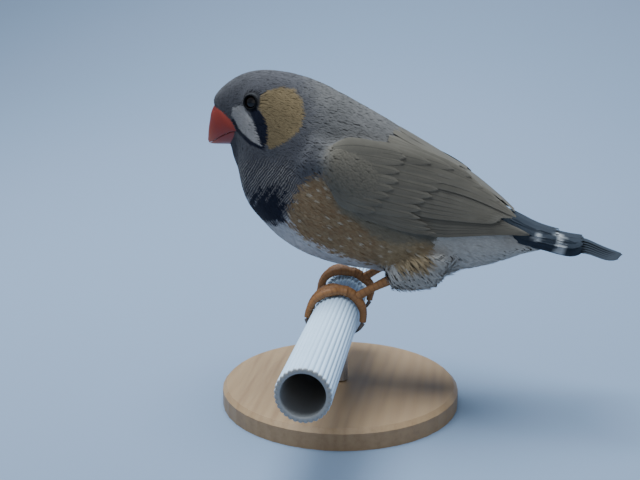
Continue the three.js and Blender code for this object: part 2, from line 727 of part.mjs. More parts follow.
function footGeometry(side) {
  const x = side * FOOT_OUT;
  const from = roundPerch(FOOT.angle - FOOT.back, FOOT.radius, x);
  const to = roundPerch(FOOT.angle + FOOT.ahead, FOOT.radius, x);
  return limb([from, to], FOOT.radii, { steps: 4, sides: 10 });
}

function tarsusGeometry(side) {
  const x = side * FOOT_OUT;
  const foot = roundPerch(TARSUS.angle, FOOT.radius + TARSUS.away, x);
  const middle = [x, lerp(foot[1], ANKLE[0], 0.5), lerp(foot[2], ANKLE[1], 0.5) + TARSUS.bow];
  return limb([foot, middle, [x, ...ANKLE]], TARSUS.radii, { steps: 7, sides: 10 });
}

// The feathered part of the leg, low on the flank
function thighGeometry(side) {
  const points = THIGH.map(({ out, place }) => [side * out * FOOT_OUT, ...place]);
  return limb(points, THIGH.map(({ radius }) => radius), { steps: 7, sides: 12 });
}

// The outline of the perch's ribbed tube
function perchOutline() {
  const valley = PERCH_RADIUS - RIB_HEIGHT;
  const { rise, top, fall } = RIB_CORNERS;
  const corners = [[rise, PERCH_RADIUS], [top, PERCH_RADIUS], [fall, valley], [1, valley]];
  const points = [];
  for (let rib = 0; rib < PERCH_RIBS; rib++) {
    for (const [share, radius] of corners) {
      const angle = (2 * Math.PI * (rib + share)) / PERCH_RIBS;
      points.push(new THREE.Vector2(Math.cos(angle) * radius, Math.sin(angle) * radius));
    }
  }
  return new THREE.Shape(points);
}

function perchGeometry() {
  const outline = perchOutline();
  const bore = new THREE.Path();
  bore.absarc(0, 0, PERCH_BORE_RADIUS, 0, 2 * Math.PI, true);
  outline.holes.push(bore);
  const tube = new THREE.ExtrudeGeometry(outline, {
    depth: PERCH_NEAR_END - PERCH_FAR_END,
    bevelEnabled: false,
    curveSegments: BORE_SIDES,
  });
  tube.rotateY(Math.PI / 2);
  tube.translate(PERCH_FAR_END, 0, 0);
  return tube;
}

// The stand: a turned base, a rod, and a saddle that the perch lies in
function baseGeometry() {
  const outline = [
    [0, 0], [BASE_RADIUS, 0], [BASE_RADIUS, BASE_THICKNESS - BASE_BEVEL],
    [BASE_RADIUS - BASE_BEVEL, BASE_THICKNESS], [0, BASE_THICKNESS],
  ];
  const base = new THREE.LatheGeometry(outline.map((point) => new THREE.Vector2(...point)), BASE_SIDES);
  base.rotateX(Math.PI / 2);
  return base;
}

function rodGeometry() {
  const rod = new THREE.CylinderGeometry(ROD_RADIUS, ROD_RADIUS, ROD_SHOWN, ROD_SIDES);
  rod.rotateX(Math.PI / 2);
  rod.translate(0, 0, BASE_THICKNESS + GAP + ROD_SHOWN / 2);
  return rod;
}

function saddleGeometry() {
  const inner = PERCH_RADIUS + GAP;
  const from = degrees(-90 - SADDLE_HALF_ANGLE);
  const to = degrees(-90 + SADDLE_HALF_ANGLE);
  const outline = new THREE.Shape();
  outline.absarc(0, 0, inner + SADDLE_WALL, from, to, false);
  outline.absarc(0, 0, inner, to, from, true);
  outline.closePath();
  const saddle = new THREE.ExtrudeGeometry(outline, {
    depth: 2 * SADDLE_HALF_LENGTH,
    bevelEnabled: false,
    curveSegments: SADDLE_SIDES,
  });
  saddle.rotateX(Math.PI / 2);
  saddle.rotateZ(Math.PI / 2);
  saddle.translate(-SADDLE_HALF_LENGTH, 0, 0);
  return saddle;
}

function part(name, geometry, material) {
  const mesh = new THREE.Mesh(geometry, material);
  mesh.name = name;
  return mesh;
}

// The head, the neck and the torso, from the bill back
function bodyParts() {
  const offcut = 100;
  let whole = solid(bodyGeometry());
  for (const [, side] of SIDES) {
    const socket = clearanceOf(eyeGeometry(side));
    whole = whole.subtract(clearanceOf(thighGeometry(side))).subtract(clearanceOf(tarsusGeometry(side)));
    whole = whole.subtract(socket).add(lidRing(side)).subtract(socket);
  }
  whole = whole.subtract(cutPlate(HEAD_CUT)).subtract(cutPlate(NECK_CUT));
  const pieces = whole.decompose().filter((piece) => piece.volume() > offcut);
  return pieces.sort((a, b) => a.boundingBox().min[1] - b.boundingBox().min[1]);
}

function addBody(bird) {
  const [head, neck, torso] = bodyParts();
  bird.add(part('head', geometryOf(head), MATERIALS.headGrey));
  bird.add(part('neck', geometryOf(neck), MATERIALS.headGrey));
  bird.add(part('torso', geometryOf(torso), MATERIALS.bodyGrey));
}

function addBill(bird) {
  const clearance = clearanceOf(bodyGeometry());
  let upper = solid(billHalf(true)).subtract(clearance);
  for (const [, side] of SIDES) upper = upper.subtract(nostril(side));
  const lower = solid(billHalf(false)).subtract(clearance);
  bird.add(part('bill_upper', geometryOf(upper), MATERIALS.billRed));
  bird.add(part('bill_lower', geometryOf(lower), MATERIALS.billRed));
}

function addWingsAndTail(bird) {
  const body = clearanceOf(bodyGeometry(), SMOOTHING);
  const tail = tailSolid().subtract(body).simplify(SMOOTHING);
  bird.add(part('tail', geometryOf(tail), MATERIALS.tailBlack));
  const taken = body.add(clearanceOf(tailForm(TAIL_REACH), SMOOTHING));
  for (const [sideName, side] of SIDES) {
    const wing = wingSolid(sideName, side).subtract(taken).simplify(SMOOTHING);
    bird.add(part(`wing_${sideName}`, geometryOf(wing), MATERIALS.wingBrown));
  }
}

// One leg. Each toe keeps clear of the foot, the tarsus and the toes before it.
function addLeg(bird, sideName, side) {
  const footClearance = clearanceOf(footGeometry(side));
  const thighClearance = clearanceOf(thighGeometry(side));
  const tarsus = solid(tarsusGeometry(side)).subtract(footClearance).subtract(thighClearance);
  bird.add(part(`thigh_${sideName}`, thighGeometry(side), MATERIALS.bodyGrey));
  bird.add(part(`tarsus_${sideName}`, geometryOf(tarsus), MATERIALS.legOrange));
  bird.add(part(`foot_${sideName}`, footGeometry(side), MATERIALS.legOrange));
  let taken = footClearance.add(clearanceOf(tarsusGeometry(side)));
  for (const toe of TOES) {
    const whole = toeGeometry(toe, sideName, side);
    const digit = solid(whole).subtract(taken);
    taken = taken.add(clearanceOf(whole));
    bird.add(part(`toe_${toe.name}_${sideName}`, geometryOf(digit), MATERIALS.legOrange));
    bird.add(part(`claw_${toe.name}_${sideName}`, clawGeometry(toe, side), MATERIALS.claw));
  }
}

function build() {
  const bird = new THREE.Group();
  bird.position.z = PERCH_HEIGHT;
  addBody(bird);
  addBill(bird);
  addWingsAndTail(bird);
  for (const [sideName, side] of SIDES) {
    bird.add(part(`eye_${sideName}`, eyeGeometry(side), MATERIALS.eyeBlack));
    addLeg(bird, sideName, side);
  }
  bird.add(part('perch', perchGeometry(), MATERIALS.plastic));
  bird.add(part('stand_saddle', saddleGeometry(), MATERIALS.steel));

  const model = new THREE.Group();
  model.add(bird);
  model.add(part('stand_base', baseGeometry(), MATERIALS.wood));
  model.add(part('stand_rod', rodGeometry(), MATERIALS.steel));
  return model;
}

export default build();
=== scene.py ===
# The dressed zebra finch: a soft feathered body over one skin, built wing and tail feathers, a
# waxy red bill, wet eyes, scaled feet on a ribbed plastic perch, and a plain display stand.
# Sizes are in millimetres from the perch's axis, and placed() turns them into the row frame.

import math

import bmesh
import bpy
import numpy as np
from mathutils import Matrix, Vector
from mathutils.bvhtree import BVHTree


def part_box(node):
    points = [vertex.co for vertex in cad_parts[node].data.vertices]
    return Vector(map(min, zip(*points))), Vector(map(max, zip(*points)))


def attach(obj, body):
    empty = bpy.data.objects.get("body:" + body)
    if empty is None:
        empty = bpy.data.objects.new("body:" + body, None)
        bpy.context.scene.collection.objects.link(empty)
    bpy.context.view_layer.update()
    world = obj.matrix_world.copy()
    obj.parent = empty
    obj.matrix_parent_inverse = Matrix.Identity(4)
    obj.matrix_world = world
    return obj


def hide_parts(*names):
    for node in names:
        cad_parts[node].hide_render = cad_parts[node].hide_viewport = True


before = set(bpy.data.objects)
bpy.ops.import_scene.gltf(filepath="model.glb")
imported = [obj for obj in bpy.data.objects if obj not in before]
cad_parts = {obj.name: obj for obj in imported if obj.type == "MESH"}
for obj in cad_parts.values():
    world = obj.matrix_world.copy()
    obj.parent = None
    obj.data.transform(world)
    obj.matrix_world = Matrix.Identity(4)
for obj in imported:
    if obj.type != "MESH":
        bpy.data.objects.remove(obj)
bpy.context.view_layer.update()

MM = 0.001
PERCH_HEIGHT = 24.7
SIDES = {"left": 1, "right": -1}

# Camera
CAMERA_PLACE = (0.197405, 0.023621, 0.085157)
CAMERA_RIGHT = (-0.14451, 0.98950, 0.0)
CAMERA_DOWN = (0.21141, 0.03088, -0.97691)
CAMERA_AHEAD = (-0.96666, -0.14118, -0.21365)
CAMERA_LENS = 46.125
CAMERA_SENSOR = 36.0

# Skin and coat
FLESH_NODES = ("head", "neck", "torso", "thigh_left", "thigh_right")
SKIN_VOXEL = 0.45
SKIN_SWELL = (0.22, 0.9)  # on the head and on the body
THIGH_SWELL = 1.1
# The coat on the face and on the body: its depth, its tufts to the square millimetre and their sizes
COAT_DEPTH = (0.3, 0.75)
TUFT_DENSITY = (17.0, 6.5)
TUFT_LENGTH, TUFT_WIDTH, TUFT_THICK = (1.15, 3.2), (0.24, 0.5), (0.03, 0.038)
LOOSE_LENGTH, LOOSE_THICK, LOOSE_RISE = 5.0, 0.055, 1.2  # of the loosest tufts, and how far they stand off
COVER_SIZE = (3.0, 0.9)  # length and width over the front of the wing
SKIN_SMOOTHING = 9
SKIN_RELAXING = 5
SHOULDER_RISE = (1.5, 0.9)
SHOULDER_REACH = 0.5  # of the wing, under the coat
VANE_THICK = 0.14
EYE_CLEAR = 2.6  # from the eye's centre to the nearest tufts
BILL_MIDDLE = np.array([0.0, -31.0, 46.5])
BAR_PITCH = 0.55
BAR_ACROSS = np.array([-0.80, 0.60])  # back and up, across the breast's streaks
BAR_STRENGTH = 0.42


# Numbers and curves

def placed(points):
    """Millimetres from the perch's axis to metres in the row frame."""
    moved = np.array(points, float).reshape(-1, 3)
    return (moved + (0, 0, PERCH_HEIGHT)) * MM


def from_row(points):
    """Metres in the row frame to millimetres from the perch's axis."""
    return np.asarray(points) / MM - (0, 0, PERCH_HEIGHT)


def mixed(first, second, share):
    return first + (second - first) * share


def unit(vectors):
    return vectors / (np.linalg.norm(vectors, axis=-1, keepdims=True) + 1e-12)


def ramp(value, low, high):
    """0 below low, 1 above high, and smooth between."""
    share = np.clip((value - low) / (high - low), 0, 1)
    return share * share * (3 - 2 * share)


class Curve:
    """A smooth curve through points, evenly parted by its points from 0 to 1."""

    def __init__(self, points):
        self.points = np.array(points, float)

    def at(self, share):
        points = self.points
        place = np.clip(share, 0, 1) * (len(points) - 1)
        first = np.minimum(place.astype(int), len(points) - 2)
        weight = (place - first)[:, None]
        points = np.vstack([2 * points[0] - points[1], points, 2 * points[-1] - points[-2]])
        p0, p1, p2, p3 = (points[first + i] for i in range(4))
        gap0, gap1, gap2 = (np.sqrt(np.linalg.norm(b - a, axis=1, keepdims=True)) + 1e-9
                            for a, b in ((p0, p1), (p1, p2), (p2, p3)))
        start = (p1 - p0) / gap0 - (p2 - p0) / (gap0 + gap1) + (p2 - p1) / gap1
        end = (p2 - p1) / gap1 - (p3 - p1) / (gap1 + gap2) + (p3 - p2) / gap2
        start, end = start * gap1, end * gap1
        square, cube = weight ** 2, weight ** 3
        return (p1 + start * weight + (3 * (p2 - p1) - 2 * start - end) * square
                + (2 * (p1 - p2) + start + end) * cube)


# Pieces

def in_scene(name, data):
    made = bpy.data.objects.new(name, data)
    bpy.context.scene.collection.objects.link(made)
    return made


def finished(name, mesh, material, replaces=()):
    """A smooth piece that rides on the part's one body."""
    mesh.validate()
    mesh.update()
    mesh.name = name
    mesh.materials.clear()
    mesh.materials.append(material)
    mesh.polygons.foreach_set("use_smooth", [True] * len(mesh.polygons))
    piece = in_scene(name, mesh)
    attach(piece, "root")
    if replaces:
        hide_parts(*replaces)
    return piece


def fill(data, key, values):
    data.foreach_set(key, np.asarray(values, np.float32).ravel())


def flat(faces):
    """Faces as one row of corners, and how many corners each has."""
    return np.concatenate([np.asarray(face) for face in faces]), np.array([len(face) for face in faces])


def built(name, points, corners, sizes):
    """A mesh from points in millimetres and from faces in the form that flat() gives."""
    mesh = bpy.data.meshes.new(name)
    mesh.vertices.add(len(points))
    fill(mesh.vertices, "co", placed(points))
    mesh.loops.add(len(corners))
    mesh.loops.foreach_set("vertex_index", corners.astype(np.int32))
    mesh.polygons.add(len(sizes))
    mesh.polygons.foreach_set("loop_start", (np.cumsum(sizes) - sizes).astype(np.int32))
    mesh.update(calc_edges=True)
    return mesh


def add_map(mesh, name, places):
    """Adds a UV map from a place for each point."""
    corners = np.empty(len(mesh.loops), np.int32)
    mesh.loops.foreach_get("vertex_index", corners)
    fill(mesh.uv_layers.new(name=name).data, "uv", places[corners])


def add_colours(mesh, colours):
    layer = mesh.color_attributes.new("Plumage", "FLOAT_COLOR", "POINT")
    fill(layer.data, "color", np.hstack([colours, np.ones((len(colours), 1))]))


def add_values(mesh, name, values):
    fill(mesh.attributes.new(name, "FLOAT", "POINT").data, "value", values)


def shade_softly(mesh, directions):
    mesh.normals_split_custom_set_from_vertices(directions.reshape(-1, 3).astype(np.float32))


def reworked(mesh, *steps):
    """The mesh after steps of bmesh work on it."""
    form = bmesh.new()
    form.from_mesh(mesh)
    for step in steps:
        step(form)
    form.to_mesh(mesh)
    form.free()
    return mesh


def face_outwards(form):
    bmesh.ops.recalc_face_normals(form, faces=form.faces)


def joined(name, forms):
    """One mesh of many closed forms, each given as its points, faces and colours."""
    points, faces, colours = zip(*(form[:3] for form in forms))
    starts = np.cumsum([0, *map(len, points)])
    numbered = [np.asarray(face) + start for start, form in zip(starts, faces) for face in form]
    mesh = built(name, np.vstack(points), *flat(numbered))
    add_colours(mesh, np.vstack(colours))
    return mesh


def grid_faces(rows, columns, round_rows=False, round_columns=False):
    """Faces between the points of a grid, given row by row, that may close on itself."""
    i, j = np.meshgrid(range(rows - (not round_rows)), range(columns - (not round_columns)), indexing="ij")
    here, below = i * columns, (i + 1) % rows * columns
    beside = (j + 1) % columns
    return np.stack([here + j, here + beside, below + beside, below + j], axis=2).reshape(-1, 4)


def slab_faces(rows, columns):
    """Faces of a closed form between two grids of points, the second of which lies under."""
    upper, under = grid_faces(rows, columns), rows * columns
    index = np.arange(under).reshape(rows, columns)
    walls = []
    for line, turned in ((index[:, 0], False), (index[-1], False), (index[:, -1], True), (index[0], True)):
        a, b = line[:-1], line[1:]
        corners = [a, a + under, b + under, b] if turned else [a, b, b + under, a + under]
        walls.append(np.stack(corners, axis=1))
    return np.concatenate([upper, upper[:, [0, 3, 2, 1]] + under, *walls])


def turns(count):
    return 2 * math.pi * np.arange(count) / count


def rings(path, across, up, radius, sides):
    """The points of rings round the places of a path, each with its two directions."""
    angle = turns(sides)[:, None]
    ring = across[:, None] * np.cos(angle) + up[:, None] * np.sin(angle)
    return (path[:, None] + ring * radius[..., None]).reshape(-1, 3)


def limb(points, radii, steps, sides, swell=lambda share: 1):
    """A round form along a curve in millimetres, with flat ends: its points and its faces."""
    share = np.linspace(0, 1, steps + 1)
    path = Curve(points).at(share)
    ahead = unit(np.gradient(path, axis=0))
    radius = Curve([(radius,) for radius in radii]).at(share) * swell(share[:, None])
    across = unit(np.array([1.0, 0, 0]) - ahead * ahead[:, :1])
    points = rings(path, across, np.cross(ahead, across), radius, sides)
    return points, [face[::-1] for face in tube_faces(steps + 1, sides)]


def tube_faces(rings, around):
    """Faces of a tube through rings of points, with flat ends."""
    ends = [tuple(reversed(range(around))), tuple(range((rings - 1) * around, rings * around))]
    return [tuple(face) for face in grid_faces(rings, around, round_columns=True)] + ends


# Materials

class Tree:
    """The nodes of a material or of a group in the making."""

    def __init__(self, tree):
        self.nodes, self.links = tree.nodes, tree.links

    def feed(self, sockets, values):
        """Sockets take plain values or the outputs of other nodes."""
        for key, value in values.items():
            if isinstance(value, bpy.types.NodeSocket):
                self.links.new(value, sockets[key])
            else:
                sockets[key].default_value = value

    def node(self, kind, values, **settings):
        made = self.nodes.new("ShaderNode" + kind)
        for name, value in settings.items():
            setattr(made, name, value)
        self.feed(made.inputs, values)
        return made

    def math(self, operation, *values):
        return self.node("Math", dict(enumerate(values)), operation=operation).outputs[0]

    def noise(self, source, scale, detail=3.0):
        values = {"Vector": source, "Scale": scale, "Detail": detail}
        return self.node("TexNoise", values).outputs["Fac"]

    def scaled(self, colour, amount):
        return self.node("VectorMath", {0: colour, "Scale": amount}, operation="SCALE").outputs["Vector"]

    def stretched(self, source, scale, turn=(0, 0, 0)):
        return self.node("Mapping", {"Vector": source, "Scale": scale, "Rotation": turn}).outputs["Vector"]

    def ranged(self, value, source, target):
        """A value moved from one range to another, and kept inside it."""
        names = ("Value", "From Min", "From Max", "To Min", "To Max")
        return self.node("MapRange", dict(zip(names, (value, *source, *target)))).outputs["Result"]


def mottling(tree, given):
    """A colour made darker and lighter by soft noise, with that noise as a height."""
    noise = tree.noise(given["Place"], given["Scale"])
    swing = tree.math("MULTIPLY_ADD", noise, 2.0, -1.0)
    share = tree.math("MULTIPLY_ADD", swing, given["Depth"], 1.0)
    return {"Colour": tree.scaled(given["Colour"], share), "Height": noise}


def streaks(tree, given):
    """Noise drawn out in one direction, as a height and as the roughness of a worn surface."""
    place = tree.stretched(given["Place"], given["Stretch"], given["Turn"])
    height = tree.noise(place, 1.0, given["Detail"])
    return {"Height": height, "Roughness": tree.ranged(height, (0.3, 0.7), (given["Smooth"], given["Rough"]))}


# The effects that several materials share: what makes each one's nodes, its inputs and its outputs
SHARED = {
    "Mottling": (mottling, dict(Colour="Color", Place="Vector", Scale="Float", Depth="Float"),
                 dict(Colour="Color", Height="Float")),
    "Streaks": (streaks, dict(Place="Vector", Stretch="Vector", Turn="Vector", Detail="Float", Smooth="Float",
                              Rough="Float"), dict(Height="Float", Roughness="Float")),
}


def shared_group(name):
    """The shader group of an effect, built when it is first asked for."""
    if name in bpy.data.node_groups:
        return bpy.data.node_groups[name]
    group = bpy.data.node_groups.new(name, "ShaderNodeTree")
    make, inputs, outputs = SHARED[name]
    for way, sockets in (("INPUT", inputs), ("OUTPUT", outputs)):
        for socket, kind in sockets.items():
            group.interface.new_socket(socket, in_out=way, socket_type="NodeSocket" + kind)
    tree = Tree(group)
    given = tree.nodes.new("NodeGroupInput").outputs
    tree.feed(tree.nodes.new("NodeGroupOutput").inputs, make(tree, given))
    return group


def opaque(colour):
    return (*colour, 1) if isinstance(colour, tuple) else colour


class Finish(Tree):
    """A material in the making, with its one shader."""

    def __init__(self, name, roughness, specular=0.5):
        self.made = bpy.data.materials.new(name)
        self.made.use_nodes = True
        super().__init__(self.made.node_tree)
        self.place = self.nodes.new("ShaderNodeTexCoord").outputs["Object"]
        self.shade({"Roughness": roughness, "Specular IOR Level": specular})

    def shade(self, values):
        self.feed(self.nodes["Principled BSDF"].inputs, values)

    def done(self, colour, bump=None, values=None):
        """The material with its colour, its bump as height, strength and distance, and any other
        values of its shader."""
        self.shade({"Base Color": colour, **(values or {})})
        if bump:
            height, strength, distance = bump
            relief = self.node("Bump", {"Height": height, "Strength": strength, "Distance": distance * MM})
            self.shade({"Normal": relief.outputs["Normal"]})
        return self.made

    def attribute(self, name, output="Color"):
        return self.node("Attribute", {}, attribute_name=name).outputs[output]

    def parts(self, vector):
        return self.node("SeparateXYZ", {"Vector": vector}).outputs

    def mixed(self, amount, first, second):
        values = {0: amount, 6: opaque(first), 7: opaque(second)}
        return self.node("Mix", values, data_type="RGBA").outputs[2]

    def steps(self, value, stops):
        """Colours at places from 0 to 1, with smooth passing between them."""
        node = self.node("ValToRGB", {"Fac": value})
        elements = node.color_ramp.elements
        while len(elements) < len(stops):
            elements.new(0.5)
        for element, (place, colour) in zip(elements, stops):
            element.position = place
            element.color = opaque(colour)
        return node.outputs["Color"]

    def shared(self, name, **values):
        """The outputs of a shared effect at the piece's own place."""
        node = self.node("Group", {}, node_tree=shared_group(name))
        self.feed(node.inputs, {"Place": self.place, **values})
        return node.outputs

    def mottled(self, colour, scale, depth):
        outputs = self.shared("Mottling", Colour=opaque(colour), Scale=scale, Depth=depth)
        return outputs["Colour"], outputs["Height"]

    def streaked(self, stretch, turn, detail, smooth, rough):
        """The height of shared streaks, which also make the surface unevenly rough."""
        outputs = self.shared("Streaks", Stretch=stretch, Turn=turn, Detail=detail, Smooth=smooth,
                              Rough=rough)
        self.shade({"Roughness": outputs["Roughness"]})
        return outputs["Height"]


def plumage_finish():
    """Soft feather, coloured by the piece's own Plumage attribute, with fine mottling and, where
    its Bars attribute asks for them, with fine wavering streaks that run up and back."""
    finish = Finish("coat", 0.9, 0.15)
    pitch = 2 * math.pi / (BAR_PITCH * MM)
    axes = {0: finish.place, 1: (0, *(BAR_ACROSS * pitch))}
    level = finish.node("VectorMath", axes, operation="DOT_PRODUCT")
    waver = finish.ranged(finish.noise(finish.place, 300.0, 4.0), (0.2, 0.8), (-6.0, 6.0))
    wave = finish.math("SINE", finish.math("ADD", level.outputs["Value"], waver))
    striped = finish.mixed(finish.ranged(wave, (-1, 1), (0, 1)), BREAST_DARK, BREAST_PALE)
    amount = finish.math("MULTIPLY", finish.attribute("Bars", "Fac"), BAR_STRENGTH)
    colour = finish.mixed(amount, finish.attribute("Plumage"), striped)
    colour, height = finish.mottled(colour, 900.0, 0.18)
    return finish.done(colour, (height, 0.15, 0.04), {"Sheen Weight": 0.12, "Sheen Roughness": 0.5})


def vane_finish():
    """A built feather: colour from Plumage, a dark shaft and fine slanting barbs, laid out on the
    vane's own width and length."""
    finish = Finish("vanes", 0.8, 0.2)
    place = finish.parts(finish.node("UVMap", {}, uv_map="FeatherPlace").outputs["UV"])
    middle = finish.math("ABSOLUTE", place["X"])
    run = finish.math("SUBTRACT", place["Y"], finish.math("MULTIPLY", middle, 3.0))
    barbs = finish.math("SINE", finish.math("MULTIPLY", run, 21.0))
    shaft = finish.ranged(middle, (0.04, 0.11), (0.7, 1.0))
    shade = finish.math("MULTIPLY", shaft, finish.ranged(barbs, (-1, 1), (0.94, 1.05)))
    colour, _ = finish.mottled(finish.scaled(finish.attribute("Plumage"), shade), 260.0, 0.2)
    return finish.done(colour, (barbs, 0.25, 0.03), {"Sheen Weight": 0.08})


def horn_finish(name, roughness, depth):
    """Horn coloured by the piece's Plumage attribute, with fine mottling and a waxy coat."""
    finish = Finish(name, roughness)
    colour, height = finish.mottled(finish.attribute("Plumage"), 250.0, depth)
    return finish.done(colour, (height, 0.12, 0.03), {"Coat Weight": 0.15, "Coat Roughness": 0.3})


def scaled_skin_finish():
    """The skin of the legs: coloured by the plates' own shading, dry, with fine wrinkles."""
    finish = Finish("leg_skin", 0.55, 0.4)
    colour, _ = finish.mottled(finish.attribute("Plumage"), 350.0, 0.2)
    return finish.done(colour, (finish.noise(finish.place, 2600.0, 4.0), 0.25, 0.05))


def lid_finish():
    finish = Finish("lid_skin", 0.8, 0.08)
    colour, height = finish.mottled(LID_GREY, 1500.0, 0.35)
    return finish.done(colour, (height, 0.4, 0.04))


def eye_finish(side_name):
    """A near-black pupil in a very dark brown iris under a clear wet surface."""
    finish = Finish(f"eye_wet_{side_name}", 0.06, 0.35)
    front = placed(node_middle(f"eye_{side_name}") + eye_look(side_name) * EYE_RADIUS)[0]
    away = finish.node("VectorMath", {0: finish.place, 1: front}, operation="DISTANCE")
    ring = finish.ranged(away.outputs["Value"], (0.55 * MM, 1.5 * MM), (0.0, 1.0))
    fibres = finish.ranged(finish.noise(finish.place, 2500.0), (0, 1), (-0.08, 0.08))
    return finish.done(finish.steps(finish.math("ADD", ring, fibres), EYE_STOPS))


def perch_finish():
    """White moulded plastic with faint scuffs, and painted shade inside the tube, on its cut ends and between
    its ribs.
    """
    finish = Finish("perch_plastic", 0.42)
    colour = finish.mixed(finish.attribute("Shade", "Fac"), PERCH_PAINTED_SHADE, PERCH_WHITE)
    colour, _ = finish.mottled(colour, 90.0, 0.06)
    scuffs = finish.streaked((60, 900, 900), (0, 0, 0), 5.0, 0.36, 0.5)
    return finish.done(colour, (scuffs, 0.1, 0.03))


def wood_finish():
    """Oiled wood with long grain and darker growth lines, a little mottled."""
    finish = Finish("stand_wood", 0.45, 0.4)
    place = finish.stretched(finish.place, (14, 95, 95), WOOD_TURN)
    values = {"Vector": place, "Scale": 1.0, "Distortion": 8.0, "Detail": 2.0}
    growth = finish.node("TexWave", values, bands_direction="Y").outputs["Fac"]
    grain = finish.streaked((60, 1100, 1100), WOOD_TURN, 5.0, 0.4, 0.55)
    blend = finish.math("ADD", finish.math("MULTIPLY", growth, 0.2), finish.math("MULTIPLY", grain, 0.8))
    colour, _ = finish.mottled(finish.steps(blend, WOOD_STOPS), 40.0, 0.12)
    return finish.done(colour, (grain, 0.15, 0.06))


def steel_finish():
    """Steel brushed around the rod."""
    finish = Finish("stand_steel", 0.35)
    lines = finish.streaked((120, 120, 6000), (0, 0, 0), 4.0, 0.28, 0.42)
    return finish.done(finish.steps(lines, STEEL_STOPS), (lines, 0.1, 0.02), {"Metallic": 1.0})


# Plumage colours, linear
GREY_HEAD = (0.0733, 0.0698, 0.0760)
GREY_BROWN = (0.1174, 0.1099, 0.1051)
BREAST_DARK = (0.018, 0.020, 0.027)
BREAST_PALE = (0.5174, 0.4554, 0.3912)
THROAT = (0.0280, 0.0257, 0.0356)
BLACK = (0.0048, 0.0060, 0.0156)
WHITE = (0.40, 0.41, 0.42)
SPOT_WHITE = (0.36, 0.31, 0.24)
LORE_WHITE = (0.2790, 0.2557, 0.2426)
CHEEK = (0.1832, 0.1305, 0.0666)
CHESTNUT = (0.1766, 0.1050, 0.0531)
CHESTNUT_PALE = (0.2188, 0.1525, 0.0875)
FLANK_GREY = (0.1620, 0.1326, 0.0924)
# partly the paler feathers of the thigh, partly painted light that lifts the shade under the wing
FLANK_PALE_AND_PAINTED_LIGHT = (0.2820, 0.2127, 0.1260)
BELLY = (0.4030, 0.3840, 0.3875)
VENT = (0.4014, 0.3679, 0.3303)
WING_GREY = (0.1117, 0.0968, 0.0750)
WING_EDGE = (0.1800, 0.1612, 0.1322)
TAIL_BLACK = (0.018, 0.025, 0.036)

# Other colours, linear
BILL_RED = (0.2177, 0.0215, 0.0124)
BILL_TIP = (0.3515, 0.0599, 0.0160)
LID_GREY = (0.007, 0.007, 0.008)
LEG_ORANGE = (0.3047, 0.1342, 0.0450)
# painted shade where the leg's plates meet
LEG_SHADE = (0.1430, 0.0572, 0.0220)
CLAW_ROOT = (0.16, 0.11, 0.08)
CLAW_TIP = (0.035, 0.028, 0.024)
PERCH_WHITE = (0.5445, 0.7004, 0.8640)
# the perch's painted shade, in its bore, on its cut ends and between its ribs
PERCH_PAINTED_SHADE = (0.25, 0.235, 0.22)
EYE_STOPS = ((0.0, (0.002, 0.002, 0.003)), (0.3, (0.003, 0.002, 0.002)), (0.45, (0.010, 0.005, 0.004)),
             (0.8, (0.008, 0.004, 0.003)), (1.0, (0.003, 0.003, 0.003)))
WOOD_TURN = (0, 0, 0.3)
STEEL_STOPS = ((0.3, (0.50, 0.50, 0.52)), (0.7, (0.62, 0.62, 0.64)))
WOOD_STOPS = ((0.25, (0.29, 0.18, 0.095)), (0.5, (0.34, 0.218, 0.117)), (0.75, (0.37, 0.243, 0.132)))
BACKDROP_STOPS = ((0.3, (0.31, 0.41, 0.56)), (0.7, (0.34, 0.44, 0.60)))
BACKDROP_FADE = ((-0.80, 0.05), (1.12, 0.62))  # along x, and how bright the sweep is painted there: darker towards the front
SKY = (0.60, 0.68, 0.78)
SKY_STRENGTH = 0.5

# Outlines of the markings seen from the side, as (back, up) in millimetres and anticlockwise
LORE_OUTLINE = [(-25.9, 47.7), (-24.0, 44.8), (-20.8, 42.2), (-17.6, 40.7), (-17.9, 42.6), (-20.4, 46.9),
                (-22.6, 50.2), (-25.6, 49.6)]
LORE_EDGE_OUTLINE = [(-26.2, 46.6), (-24.6, 43.9), (-21.1, 41.3), (-17.6, 39.9), (-17.6, 41.4),
                     (-21.0, 46.0), (-25.0, 47.4)]
TEAR_OUTLINE = [(-20.9, 49.2), (-19.6, 45.4), (-18.0, 41.2), (-17.4, 39.9), (-16.5, 42.4), (-16.6, 45.6),
                (-17.8, 48.2), (-19.4, 49.9)]
CHEEK_OUTLINE = [(-17.9, 44.0), (-17.1, 41.6), (-16.0, 40.4), (-12.4, 41.9), (-9.2, 44.6), (-8.0, 48.0),
                 (-9.0, 51.6), (-11.0, 53.8), (-13.9, 54.4), (-16.9, 53.3), (-18.6, 51.2)]
FLANK_OUTLINE = [(-11.6, 27.6), (-11.4, 22.8), (-9.6, 20.6), (-6.6, 18.6), (-1.0, 15.7), (7.0, 13.2),
                 (11.0, 12.9), (16.2, 13.0), (20.6, 13.3), (22.2, 15.0), (22.4, 24.0), (14.0, 33.0),
                 (0.0, 35.6), (-7.2, 33.6)]
UNDER_WING = ((-0.5, 5.4, 8.0, 13.0, 21.0), (27.4, 23.9, 21.2, 19.3, 19.0))  # over this the flank is grey
BAND_OUTLINE = [(-24.5, 27.2), (-24.5, 22.2), (-15.5, 22.2), (-12.4, 23.4), (-12.0, 27.0), (-13.6, 30.8),
                (-16.5, 31.2), (-19.5, 29.2)]
# Lines that part the markings, each from its front end to its rear one
THROAT_TOP, BREAST_FOOT = ((-26.0, 37.0), (-8.0, 38.0)), ((-20.0, 22.0), (-8.0, 24.0))
BELLY_TOP, BELLY_REAR = ((-20.0, 23.2), (-8.0, 21.0)), ((-8.0, 24.0), (6.0, 20.0))
BACK_FRONT, RUMP_TOP = ((-2.0, 30.0), (-9.0, 60.0)), ((24.0, 25.0), (44.0, 20.0))
SPOT_PITCH = (2.7, 2.2)
SPOT_TURN = np.array([(0.88, 0.47), (-0.47, 0.88)])
SPOT_RADIUS = 0.34


